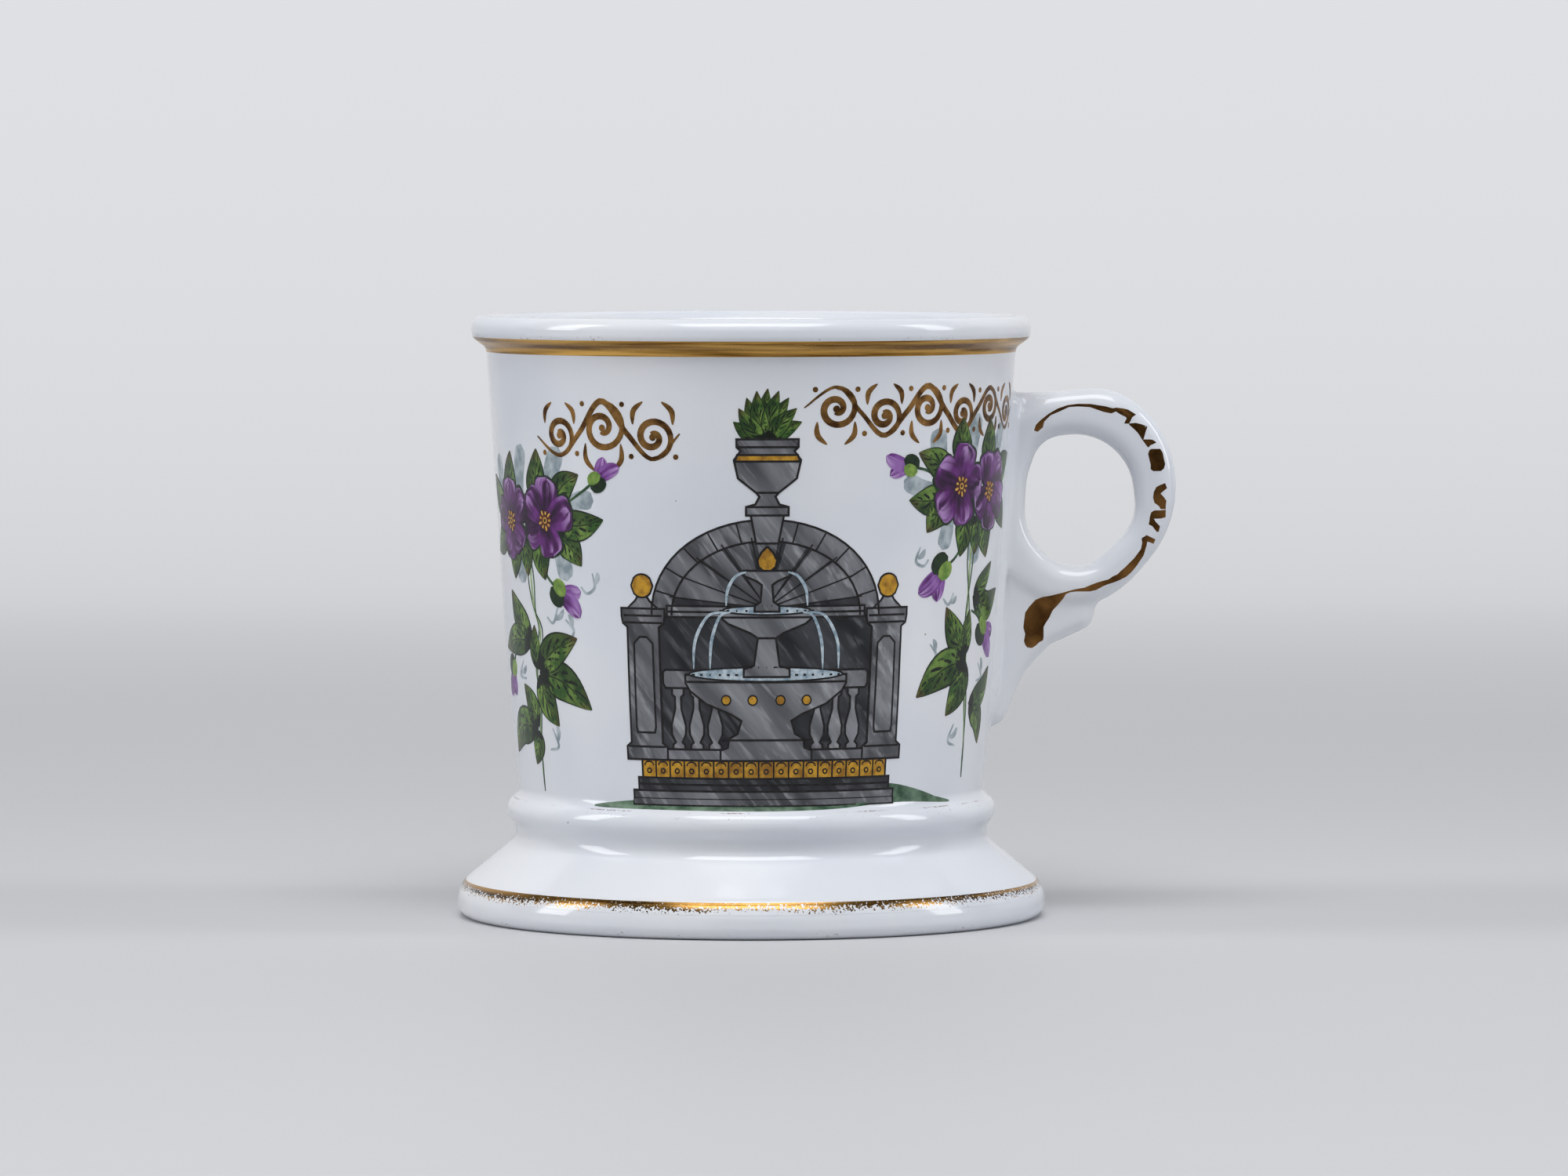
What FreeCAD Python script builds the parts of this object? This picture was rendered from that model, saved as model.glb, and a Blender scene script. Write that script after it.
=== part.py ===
"""Footed china shaving mug with one flat cast handle, as a parametric FreeCAD document.

Millimetres, +Z up. The origin is where the mug's axis meets the table, and the handle points to +X.
The mug is one piece of glazed china: a turned body on a spread foot, with a slip-cast handle that
has a round finger ring, a short spur under it and a tail that runs down into the wall.
"""
import FreeCAD
import Part
import Sketcher

import math
import os

V = FreeCAD.Vector

# Driving sizes. Heights are above the table unless the comment says otherwise.
SIZES = {
    # outside of the turned body
    "mug_height": 95.0,
    "foot_radius": 46.5,
    "foot_edge_height": 4.8,
    "foot_bottom_bevel": 1.4,
    "foot_shoulder_round": 5.3,
    "neck_radius": 36.35,
    "neck_height": 13.1,
    "neck_round": 2.6,
    "ridge_radius": 39.65,
    "ridge_height": 17.35,
    "ridge_round": 2.3,
    "waist_radius": 36.7,
    "waist_height": 19.6,
    "waist_round": 1.9,
    "belly_swell": 0.5,             # how far the wall swells out of the straight line to the rim
    "belly_rise": 18.4,             # height of the swell over the waist
    # rim
    "rim_radius": 44.25,
    "rim_overhang": 2.4,            # how far the bead stands out from the wall below it
    "bead_round": 1.95,
    "bead_height": 3.4,             # from the crest down to the bead's widest corner
    "bead_depth": 5.1,              # from the crest down to the wall
    "cove_round": 1.4,
    "lip_round": 3.2,               # inner edge of the rim
    # inside
    "wall_thickness": 3.2,
    "floor_height": 13.5,
    "floor_corner": 8.0,
    # underside
    "foot_ring_width": 3.0,         # flat ring that touches the table
    "foot_ring_inset": 2.2,         # from the foot's edge to the flat ring
    "recess_height": 8.4,
    "recess_slope": 7.2,            # how much the recess narrows towards the base
    # handle, seen from the side
    "handle_drop": 11.55,           # from the crest of the rim down to the top of the handle
    "brow_drop": 0.7,               # from the top of the ring down to the web over it
    "hole_width": 17.35,
    "hole_height": 20.8,
    "hole_wall_gap": 3.15,          # china between the wall and the finger hole
    "band_top": 7.35,               # depth of the ring above the hole
    "band_side": 6.5,               # depth of the ring outside the hole
    "band_bottom": 6.3,             # depth of the ring below the hole
    "tail_length": 19.4,            # from the bottom of the ring to the tip of the tail
    "spur_reach": 14.8,             # from the wall to the tip of the spur
    "notch_round": 3.2,
    "spur_round": 2.8,
    "spur_heel_round": 2.0,
    "tail_hollow_round": 15.7,
    "tail_tip_round": 3.2,
    # handle, seen from above
    "ring_thickness": 8.4,
    "ring_round": 2.6,
    "web_thickness": 6.2,
    "web_round": 2.2,
    "root_width": 11.4,             # where the handle flares into the wall
    "root_flare": 2.6,              # radius of that flare
    "root_round": 2.2,
    "root_embed": 1.8,              # how far the handle is drawn into the wall
    "root_inset": 0.2,              # from the edge of the finger hole back to the root's face
    "root_taper": 4.65,             # height over which the root thins out at the tail's tip
}

# Corners of the finger hole and of the ring round it, as shares of the half width and half height
# about the hole's centre, each with its rounding as a share of the half width. The hole is a blunt
# egg, and the ring follows it with a fuller top and ends inside the wall.
HOLE_SHAPE = [
    (-0.960, 0.360, 0.97), (-0.720, 0.940, 0.57), (0.382, 1.057, 1.07), (0.948, 0.453, 1.04),
    (1.054, -0.341, 0.83), (0.217, -0.994, 0.60), (-0.439, -1.012, 0.83), (-1.021, -0.429, 1.03),
]
RING_SHAPE = [
    (-1.03, 0.647, 0.60), (-0.391, 0.959, 0.59), (0.339, 1.015, 0.69), (0.919, 0.670, 1.02),
    (1.080, -0.199, 1.19), (0.528, -0.769, 1.00), (0.185, -1.010, 0.76), (-0.426, -0.987, 0.59),
    (-1.03, -0.571, 0.59),
]


def make_sheet(doc):
    """Spreadsheet that holds every driving size under its own name."""
    sheet = doc.addObject("Spreadsheet::Sheet", "sizes")
    for row, (name, value) in enumerate(SIZES.items(), start=1):
        sheet.set(f"A{row}", name)
        sheet.set(f"B{row}", str(value))
        sheet.setAlias(f"B{row}", name)
    doc.recompute()
    return sheet


class Sizes:
    """Reads the sheet, and writes formulas on it."""

    def __init__(self, sheet):
        self.sheet = sheet

    def __getattr__(self, name):
        return self.sheet.get(name)

    def total(self, *terms):
        """A sum of named sizes, each with its sign, as its number and its formula."""
        value = 0.0
        formula = ""
        for term in terms:
            sign = -1 if term.startswith("-") else 1
            name = term.lstrip("-")
            value += sign * self.sheet.get(name)
            formula += f" {'-' if sign < 0 else '+'} sizes.{name}"
        return value, formula.lstrip(" +")

    def wall_radius(self, height):
        """Outer radius of the wall at a height, on the straight line from waist to rim."""
        share = (height - self.waist_height) / (self.mug_height - self.bead_depth - self.waist_height)
        return self.waist_radius + share * (self.rim_radius - self.rim_overhang - self.waist_radius)


AXIS = (0.0, None)      # a place on one of the sketch's own axes
ONE = 1                 # chord of a small rounding that turns a little
TWO = 2                 # chords of a larger one

# The turned roundings are drawn as chords and those of the handle's plates as bevels, because each
# curved face round the whole mug costs as many triangles as four straight ones. A 45 degree bevel of
# this size touches a quarter arc of radius 1.
BEVEL = round(2 - math.sqrt(2), 4)


def at(value):
    """A place that is worked out from the sheet, with no formula of its own."""
    return value, ""


def add_sketch(body, name, role):
    """A sketch lying on the body's own origin plane that has this role."""
    plane = next(item for item in body.Origin.OriginFeatures if item.Role == role)
    sketch = body.newObject("Sketcher::SketchObject", name)
    sketch.AttachmentSupport = (plane, [""])
    sketch.MapMode = "FlatFace"
    return sketch


def constrain(sketch, *values, formula=""):
    """Add one constraint, driven by a formula if it has one."""
    index = sketch.addConstraint(Sketcher.Constraint(*values))
    if formula:
        sketch.setExpression(f"Constraints[{index}]", formula)


def fitted_rounds(places, rounds):
    """Rounding of each corner, limited by the length of the sides beside it, and its cut-back."""
    count = len(places)
    cuts = []
    for i in range(count):
        before = (places[i - 1] - places[i]).normalize()
        after = (places[(i + 1) % count] - places[i]).normalize()
        half_angle = math.acos(max(-1.0, min(1.0, before.dot(after)))) / 2
        cuts.append([rounds[i] / math.tan(half_angle), half_angle])
    for i in range(count):
        follower = (i + 1) % count
        room = 0.98 * (places[follower] - places[i]).Length
        wanted = cuts[i][0] + cuts[follower][0]
        if wanted > room:
            cuts[i][0] *= room / wanted
            cuts[follower][0] *= room / wanted
    return [(cut * math.tan(half_angle), cut) for cut, half_angle in cuts]


def draw_chords(sketch, arc, count, meets):
    """Turn an arc into a construction line with one or two equal chords, joined to the sides it meets."""
    sketch.setConstruction(arc, True)
    curve = sketch.Geometry[arc]
    share = (curve.LastParameter - curve.FirstParameter) / count
    knots = [curve.value(curve.FirstParameter + i * share) for i in range(count + 1)]
    if (knots[0] - meets[0][2]).Length > 1e-6:
        knots.reverse()
    chords = [sketch.addGeometry(Part.LineSegment(*pair), False) for pair in zip(knots, knots[1:])]
    for before, after in zip(chords, chords[1:]):
        constrain(sketch, "Coincident", before, 2, after, 1)
        constrain(sketch, "PointOnObject", after, 1, arc)
        constrain(sketch, "Equal", before, after)
    constrain(sketch, "Coincident", chords[0], 1, meets[0][0], meets[0][1])
    constrain(sketch, "Coincident", chords[-1], 2, meets[1][0], meets[1][1])


def draw_outline(sketch, corners):
    """Draw a closed outline of straight sides and tangent corner arcs, and fix its corners.

    Each corner is (across, up, rounding): across and up are a number with its formula, and rounding
    is a number, a number with its formula, or 0 for a sharp corner. A fourth item is the number of
    chords that stand for the arc of a small rounding. Returns the middle points of the sides and
    arcs, in the corners' order: corner 0, side 0 to 1, corner 1 and so on.
    """
    chords = [corner[3] if len(corner) > 3 else 0 for corner in corners]
    corners = [corner[:3] for corner in corners]
    places = [V(across[0], up[0], 0) for across, up, _ in corners]
    wanted = [rounding if isinstance(rounding, tuple) else at(rounding) for _, _, rounding in corners]
    fitted = fitted_rounds(places, [value for value, _ in wanted])
    count = len(corners)
    starts, ends, middles = [], [], []
    for i, place in enumerate(places):
        before = (places[i - 1] - place).normalize()
        after = (places[(i + 1) % count] - place).normalize()
        radius, cut = fitted[i]
        starts.append(place + before * cut)
        ends.append(place + after * cut)
        bisector = (before + after).normalize()
        reach = math.hypot(radius, cut) - radius
        middles.append(place + bisector * reach)

    sides = [sketch.addGeometry(Part.LineSegment(ends[i], starts[(i + 1) % count]), False)
             for i in range(count)]
    for i, (across, up, _) in enumerate(corners):
        point = sketch.addGeometry(Part.Point(places[i]), True)
        for kind, line, (value, formula) in (("DistanceX", -2, across), ("DistanceY", -1, up)):
            if formula is None:
                constrain(sketch, "PointOnObject", point, 1, line)
            else:
                constrain(sketch, kind, -1, 1, point, 1, value, formula=formula)
        if not fitted[i][0]:
            constrain(sketch, "Coincident", sides[i - 1], 2, point, 1)
            constrain(sketch, "Coincident", sides[i], 1, point, 1)
            continue
        constrain(sketch, "PointOnObject", point, 1, sides[i - 1])
        constrain(sketch, "PointOnObject", point, 1, sides[i])
        curve = Part.Arc(starts[i], middles[i], ends[i])
        arc = sketch.addGeometry(curve, False)
        first_is_start = (sketch.getPoint(arc, 1) - starts[i]).Length < 1e-6
        constrain(sketch, "Tangent", sides[i - 1], 2, arc, 1 if first_is_start else 2)
        constrain(sketch, "Tangent", sides[i], 1, arc, 2 if first_is_start else 1)
        value, formula = wanted[i]
        if formula and fitted[i][0] < value - 1e-9:
            formula = f"min({formula}; {fitted[i][0]:.6f})"
        constrain(sketch, "Radius", arc, fitted[i][0], formula=formula)
        if chords[i]:
            draw_chords(sketch, arc, chords[i], ((sides[i - 1], 2, starts[i]), (sides[i], 1, ends[i])))
    sketch.Document.recompute()
    stations = []
    for i in range(count):
        stations += [middles[i], (ends[i] + starts[(i + 1) % count]) / 2]
    return stations


def add_turned(doc, name, corners, kind="PartDesign::Revolution", body=None):
    """Turn an outline about the mug's axis, as a body of its own or as a cut in a body."""
    body = body or doc.addObject("PartDesign::Body", name)
    sketch = add_sketch(body, f"{name}_profile", "XZ_Plane")
    draw_outline(sketch, corners)
    before = body.Shape.Volume if kind == "PartDesign::Groove" else 0.0
    turned = body.newObject(kind, f"{name}_turned")
    turned.Profile = sketch
    turned.ReferenceAxis = (sketch, ["V_Axis"])
    turned.Angle = 360.0
    turned.Refine = False
    doc.recompute()
    if kind == "PartDesign::Groove" and body.Shape.Volume >= before:
        raise RuntimeError(f"{name} removed nothing")
    return body


def add_outside(doc, s):
    """The mug's outside as one turned solid: foot, neck, ridge, waist, wall and rolled rim."""
    belly_z = s.waist_height + s.belly_rise
    cell = s.total
    corners = [
        (AXIS, AXIS, 0.0),
        (cell("foot_radius"), AXIS, cell("foot_bottom_bevel"), ONE),
        (cell("foot_radius"), cell("foot_edge_height"), cell("foot_shoulder_round"), TWO),
        (cell("neck_radius"), cell("neck_height"), cell("neck_round"), TWO),
        (cell("ridge_radius"), cell("ridge_height"), cell("ridge_round"), TWO),
        (cell("waist_radius"), cell("waist_height"), cell("waist_round"), ONE),
        (at(s.wall_radius(belly_z) + s.belly_swell), cell("waist_height", "belly_rise"), 0.0),
        (cell("rim_radius", "-rim_overhang"), cell("mug_height", "-bead_depth"), cell("cove_round"), ONE),
        (cell("rim_radius"), cell("mug_height", "-bead_height"), cell("bead_round"), TWO),
        (cell("rim_radius"), cell("mug_height"), cell("bead_round"), TWO),
        (AXIS, cell("mug_height"), 0.0),
    ]
    return add_turned(doc, "outside", corners)


def add_underside(doc, s, body):
    """Turn away the recess inside the foot ring."""
    mouth = s.total("foot_radius", "-foot_ring_inset", "-foot_ring_width")
    base = s.total("foot_radius", "-foot_ring_inset", "-foot_ring_width", "-recess_slope")
    corners = [
        (AXIS, AXIS, 0.0),
        (mouth, AXIS, 0.0),
        (base, s.total("recess_height"), 0.0),
        (AXIS, s.total("recess_height"), 0.0),
    ]
    add_turned(doc, "underside", corners, "PartDesign::Groove", body)


def add_inside(doc, s):
    """The hollow of the mug with its rounded lip, as a turned solid that is cut away."""
    wall_top = s.wall_radius(s.mug_height) - s.wall_thickness
    floor_radius = s.wall_radius(s.floor_height) - s.wall_thickness
    clear = s.mug_height + s.lip_round
    corners = [
        (AXIS, s.total("floor_height"), 0.0),
        (at(floor_radius), s.total("floor_height"), s.total("floor_corner"), TWO),
        (at(wall_top), s.total("mug_height"), s.total("lip_round"), TWO),
        (s.total("rim_radius", "lip_round"), s.total("mug_height"), 0.0),
        (s.total("rim_radius", "lip_round"), at(clear), 0.0),
        (AXIS, at(clear), 0.0),
    ]
    return add_turned(doc, "inside", corners)


def add_plate(doc, name, outlines, thickness, rounding, bare_from=None):
    """A flat plate centred on the mug's XZ plane, its edges bevelled where they show.

    outlines are lists of corners, the outer one first. Edges from corner bare_from of the outer
    outline onwards end up inside the wall or the ring and stay sharp.
    """
    body = doc.addObject("PartDesign::Body", name)
    sketch = add_sketch(body, f"{name}_outline", "XZ_Plane")
    outer, *holes = [draw_outline(sketch, corners) for corners in outlines]
    shown = outer if bare_from is None else outer[1:2 * bare_from - 2]
    shown += [station for hole in holes for station in hole]
    pad = body.newObject("PartDesign::Pad", f"{name}_pad")
    pad.Profile = sketch
    pad.SideType = "Symmetric"
    pad.Refine = False
    pad.setExpression("Length", f"sizes.{thickness}")
    doc.recompute()
    face = pad.Length.Value / 2
    marks = Part.Compound([Part.Vertex(V(p.x, y, p.y)) for p in shown for y in (face, -face)])
    bevel = body.newObject("PartDesign::Chamfer", f"{name}_bevel")
    bevel.Base = (pad, [f"Edge{number}" for number, edge in enumerate(pad.Shape.Edges, start=1)
                        if edge.BoundBox.YLength < 1e-6 and edge.distToShape(marks)[0] < 1e-4])
    bevel.Refine = False
    bevel.setExpression("Size", f"sizes.{rounding} * {BEVEL}")
    doc.recompute()
    return body


class HandlePlaces:
    """Frames that the handle's outlines share, seen from the side."""

    def __init__(self, s):
        self.s = s
        self.top = s.mug_height - s.handle_drop
        self.half_width = s.hole_width / 2
        self.half_height = s.hole_height / 2
        self.centre_z = self.top - s.band_top - self.half_height
        self.centre_x = s.wall_radius(self.centre_z) + s.hole_wall_gap + self.half_width
        self.ring_bottom = self.centre_z - self.half_height - s.band_bottom
        self.brow = self.top - s.brow_drop
        self.tail_tip = self.ring_bottom - s.tail_length

    def in_hole(self, u, v, rounding=0.0):
        """Corner at shares of the hole's half width and half height."""
        return (at(self.centre_x + u * self.half_width), at(self.centre_z + v * self.half_height),
                rounding * self.half_width)

    def in_ring(self, u, v, rounding=0.0):
        """Corner at shares of the ring's half width and half height."""
        half_width = self.half_width + self.s.band_side
        band = self.s.band_top if v > 0 else self.s.band_bottom
        return (at(self.centre_x + u * half_width), at(self.centre_z + v * (self.half_height + band)),
                rounding * half_width)

    def by_wall(self, out, height, rounding=0.0):
        """Corner at a distance out of the wall."""
        return at(self.s.wall_radius(height) + out), at(height), rounding

    def in_tail(self, out, down, rounding=0.0):
        """Corner at shares of the spur's reach and the tail's length."""
        height = self.ring_bottom - down * self.s.tail_length
        return self.by_wall(out * self.s.spur_reach, height, rounding)


def add_handle(doc, s):
    """The cast handle: finger ring, the web over it, the spur and tail under it, and its flared root."""
    p = HandlePlaces(s)
    embed = -s.root_embed
    ring = add_plate(doc, "finger_ring",
                     [[p.in_ring(*corner) for corner in RING_SHAPE],
                      [p.in_hole(*corner) for corner in HOLE_SHAPE]],
                     "ring_thickness", "ring_round")
    web_corners = [
        p.by_wall(embed, p.brow),
        (p.in_ring(-0.2, 0)[0], at(p.brow), 0.0),
        p.in_ring(0.05, 0.75),
        p.in_ring(-0.25, 0.72),
        p.in_ring(-0.72, 0.25),
        p.by_wall(embed, p.in_ring(0, 0.25)[1][0]),
    ]
    web = add_plate(doc, "upper_web", [web_corners], "web_thickness", "web_round", bare_from=2)
    tail_corners = [
        p.in_ring(0.41, -0.73),
        p.in_tail(1.049, 0.006, s.total("notch_round")),
        p.in_tail(1.037, 0.161, s.total("spur_round")),
        p.in_tail(0.597, 0.320, s.total("spur_heel_round")),
        p.in_tail(0.326, 0.554, s.total("tail_hollow_round")),
        p.in_tail(0.150, 0.982, s.total("tail_tip_round")),
        p.by_wall(embed, p.tail_tip),
        p.by_wall(embed, p.in_ring(0, -0.2)[1][0]),
        p.in_ring(-0.716, -0.341),
        p.in_ring(-0.387, -0.73),
        p.in_ring(0.14, -0.79),
    ]
    tail = add_plate(doc, "tail", [tail_corners], "web_thickness", "web_round", bare_from=7)
    return [ring, web, tail, add_root(doc, s, p)]


def add_root(doc, s, p):
    """The flare along the wall: a hollow-sided section drawn up the wall, cut to the handle's outline."""
    low, high = p.tail_tip, p.brow
    half, flare, embed = s.root_width / 2, s.root_flare, s.root_embed
    # the round wall has fallen back by this much where the flare leaves it
    setback = half ** 2 / (2 * s.wall_radius((low + high) / 2))
    reach = 2 * s.hole_wall_gap
    section = doc.addObject("Sketcher::SketchObject", "root_section")
    section.Placement = FreeCAD.Placement(V(s.wall_radius(low), 0, low), FreeCAD.Rotation())
    # corners of one half, from inside the wall out to the nose, then mirrored
    upper = [(-embed, half + embed, 0.0), (-setback, half, 0.0), (-setback, half - flare, flare),
             (reach, half - flare, 0.0)]
    lower = [(x, -y, rounding) for x, y, rounding in reversed(upper)]
    draw_outline(section, [(at(x), at(y), rounding, TWO) for x, y, rounding in upper + lower])
    strip = doc.addObject("Part::Extrusion", "root_strip")
    strip.Base = section
    strip.DirMode = "Custom"
    strip.Dir = V(s.wall_radius(high) - s.wall_radius(low), 0, high - low)
    strip.LengthFwd = strip.Dir.Length
    strip.Solid = True
    width = s.hole_wall_gap - s.root_inset
    knee = low + s.root_taper
    mask_corners = [
        p.by_wall(-embed, high),
        p.by_wall(width, high, s.root_round),
        p.by_wall(width, knee, 2 * s.root_round),
        p.by_wall(0.4 * width, low, s.root_round),
        p.by_wall(-embed, low),
    ]
    mask = add_plate(doc, "root_mask", [mask_corners], "root_width", "root_round", bare_from=5)
    return boolean(doc, "Part::Common", "root", strip, mask)


def boolean(doc, kind, name, base, tool):
    """Join, cut or intersect two shapes."""
    result = doc.addObject(kind, name)
    result.Refine = False
    result.Base = base
    result.Tool = tool
    doc.recompute()
    return result


def main():
    """Build the mug, check it and write its STEP file."""
    doc = FreeCAD.newDocument("shaving_mug")
    s = Sizes(make_sheet(doc))
    outside = add_outside(doc, s)
    add_underside(doc, s, outside)
    handle, *pieces = add_handle(doc, s)
    for piece in pieces:
        handle = boolean(doc, "Part::Fuse", f"handle_with_{piece.Name}", handle, piece)
    whole = boolean(doc, "Part::Fuse", "body_and_handle", outside, handle)
    mug = boolean(doc, "Part::Cut", "mug", whole, add_inside(doc, s))
    mug.Label = "mug"
    doc.recompute()

    for item in doc.Objects:
        if "Invalid" in item.State or "Error" in item.State:
            raise RuntimeError(f"{item.Name} failed: {item.State}")
    if mug.Shape.isNull() or not mug.Shape.isValid() or len(mug.Shape.Solids) != 1:
        raise RuntimeError("the mug is not one valid solid")
    os.makedirs("parts", exist_ok=True)
    mug.Shape.exportStep(os.path.join("parts", f"{mug.Label}.step"))
    print(f"mug: {mug.Shape.Volume:.0f} mm3, {len(mug.Shape.Faces)} faces, box {mug.Shape.BoundBox}")


main()
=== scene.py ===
"""Looks of a footed china shaving mug: glaze, burnished gold and overglaze painting.

The mug's axis is Z, its painted front faces -Y and its handle points to +X. Sizes are in millimetres
and are turned to metres where a mesh is made. On the wall, u is the distance round the mug from the
middle of the front, to the right, and z is the height above the table.
"""

import logging
import math
from bisect import bisect_left
from dataclasses import dataclass, field
from enum import Enum
from functools import partial
from typing import Callable, ClassVar, Sequence, Union

import bpy
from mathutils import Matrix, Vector
from mathutils.bvhtree import BVHTree


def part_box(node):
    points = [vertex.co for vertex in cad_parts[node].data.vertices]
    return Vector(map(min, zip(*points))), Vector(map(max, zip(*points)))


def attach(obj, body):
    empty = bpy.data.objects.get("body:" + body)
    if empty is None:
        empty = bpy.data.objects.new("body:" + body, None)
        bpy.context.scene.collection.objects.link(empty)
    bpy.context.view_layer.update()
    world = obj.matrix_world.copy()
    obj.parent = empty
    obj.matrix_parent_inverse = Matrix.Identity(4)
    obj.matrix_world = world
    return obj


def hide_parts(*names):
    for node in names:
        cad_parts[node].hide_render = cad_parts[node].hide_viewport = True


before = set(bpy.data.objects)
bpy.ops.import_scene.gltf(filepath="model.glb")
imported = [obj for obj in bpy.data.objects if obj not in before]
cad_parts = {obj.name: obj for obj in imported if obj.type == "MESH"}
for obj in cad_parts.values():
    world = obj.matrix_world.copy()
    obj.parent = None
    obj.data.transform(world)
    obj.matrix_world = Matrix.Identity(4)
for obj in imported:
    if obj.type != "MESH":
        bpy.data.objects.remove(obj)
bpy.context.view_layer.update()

LOG = logging.getLogger("shaving_mug")
MM = 0.001
TURN = 2 * math.pi
ROUND_STEPS = 256
# largest face across a stroke: for broad strokes, for leaves and petals, and for the thinnest dabs
GRAIN, FINE, FINEST = 1.4, 0.8, 0.6

Point = Union[tuple[float, float], Vector]
Corner = tuple[float, float, float]
Width = Union[float, Callable[[float], float]]
Placer = Callable[[float, float], tuple[Vector, Vector]]
AddNode = Callable[..., bpy.types.NodeSocket]


# Small helpers for meshes and nodes


def deselect() -> None:
    """Leave nothing selected, in object mode."""
    if bpy.context.object and bpy.context.object.mode != "OBJECT":
        bpy.ops.object.mode_set(mode="OBJECT")
    bpy.ops.object.select_all(action="DESELECT")


def activate(*pieces: bpy.types.Object) -> None:
    """Select these objects alone and make the first one active."""
    deselect()
    for piece in pieces:
        piece.select_set(True)
    bpy.context.view_layer.objects.active = pieces[0]


def finish_modifier(piece: bpy.types.Object, kind: str, **settings: object) -> None:
    """Add a modifier with its settings and apply it at once.

    Args:
        piece: the object that gets the modifier.
        kind: Blender's name for the modifier.
        settings: values of the modifier's own properties.
    """
    activate(piece)
    modifier = piece.modifiers.new(kind.title(), kind)
    for name, value in settings.items():
        setattr(modifier, name, value)
    bpy.ops.object.modifier_apply(modifier=modifier.name)


def join(pieces: Sequence[bpy.types.Object], name: str) -> bpy.types.Object:
    """Join meshes into one object.

    Args:
        pieces: the objects to join, the first of which stays.
        name: the joined object's name.

    Returns:
        The joined object.
    """
    activate(*pieces)
    if len(pieces) > 1:
        bpy.ops.object.join()
    pieces[0].name = pieces[0].data.name = name
    return pieces[0]


def cover(piece: bpy.types.Object, finish: bpy.types.Material, crease: float = 0.0) -> None:
    """Give a piece its one finish and smooth shading.

    Args:
        piece: the piece.
        finish: its material.
        crease: degrees from which an edge stays sharp, or 0 where none does.
    """
    activate(piece)
    piece.data.materials.clear()
    piece.data.materials.append(finish)
    if crease:
        bpy.ops.object.shade_smooth_by_angle(angle=math.radians(crease))
    else:
        bpy.ops.object.shade_smooth()


def hex_colour(code: str) -> tuple[float, float, float, float]:
    """Turn an sRGB hex colour into Blender's linear RGBA."""
    channels = [int(code[i:i + 2], 16) / 255 for i in (1, 3, 5)]
    linear = [c / 12.92 if c <= 0.04045 else ((c + 0.055) / 1.055) ** 2.4 for c in channels]
    return (*linear, 1.0)


def add_node(tree: bpy.types.NodeTree, kind: str, inputs: Union[dict, Sequence] = (),
             out: Union[int, str] = 0, **settings: object) -> bpy.types.NodeSocket:
    """Add a shader node with its settings, fill or link its inputs, and hand back one of its outputs.

    Args:
        tree: the material's node tree.
        kind: the node's type name, without ShaderNode before it.
        inputs: for each input, by name, by number or in order, a value, an sRGB hex colour, or the
            output that feeds it.
        out: the output that is wanted.
        settings: values of the node's own properties.

    Returns:
        That output, or None for the material's last node, which has none.
    """
    node = tree.nodes.new("ShaderNode" + kind)
    for name, value in settings.items():
        setattr(node, name, value)
    for key, value in inputs.items() if isinstance(inputs, dict) else enumerate(inputs):
        if isinstance(value, bpy.types.NodeSocket):
            tree.links.new(value, node.inputs[key])
        else:
            node.inputs[key].default_value = hex_colour(value) if isinstance(value, str) else value
    return node.outputs[out] if node.outputs else None


def new_material(name: str) -> tuple[bpy.types.Material, AddNode]:
    """Make an empty node material.

    Args:
        name: the material's name.

    Returns:
        The material, and add_node for its own tree.
    """
    material = bpy.data.materials.new(name)
    material.use_nodes = True
    material.node_tree.nodes.clear()
    return material, partial(add_node, material.node_tree)


def pattern(grain_mm: float) -> float:
    """Scale of a pattern whose grains have this size."""
    return 1 / (grain_mm * MM)


# Finishes


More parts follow.
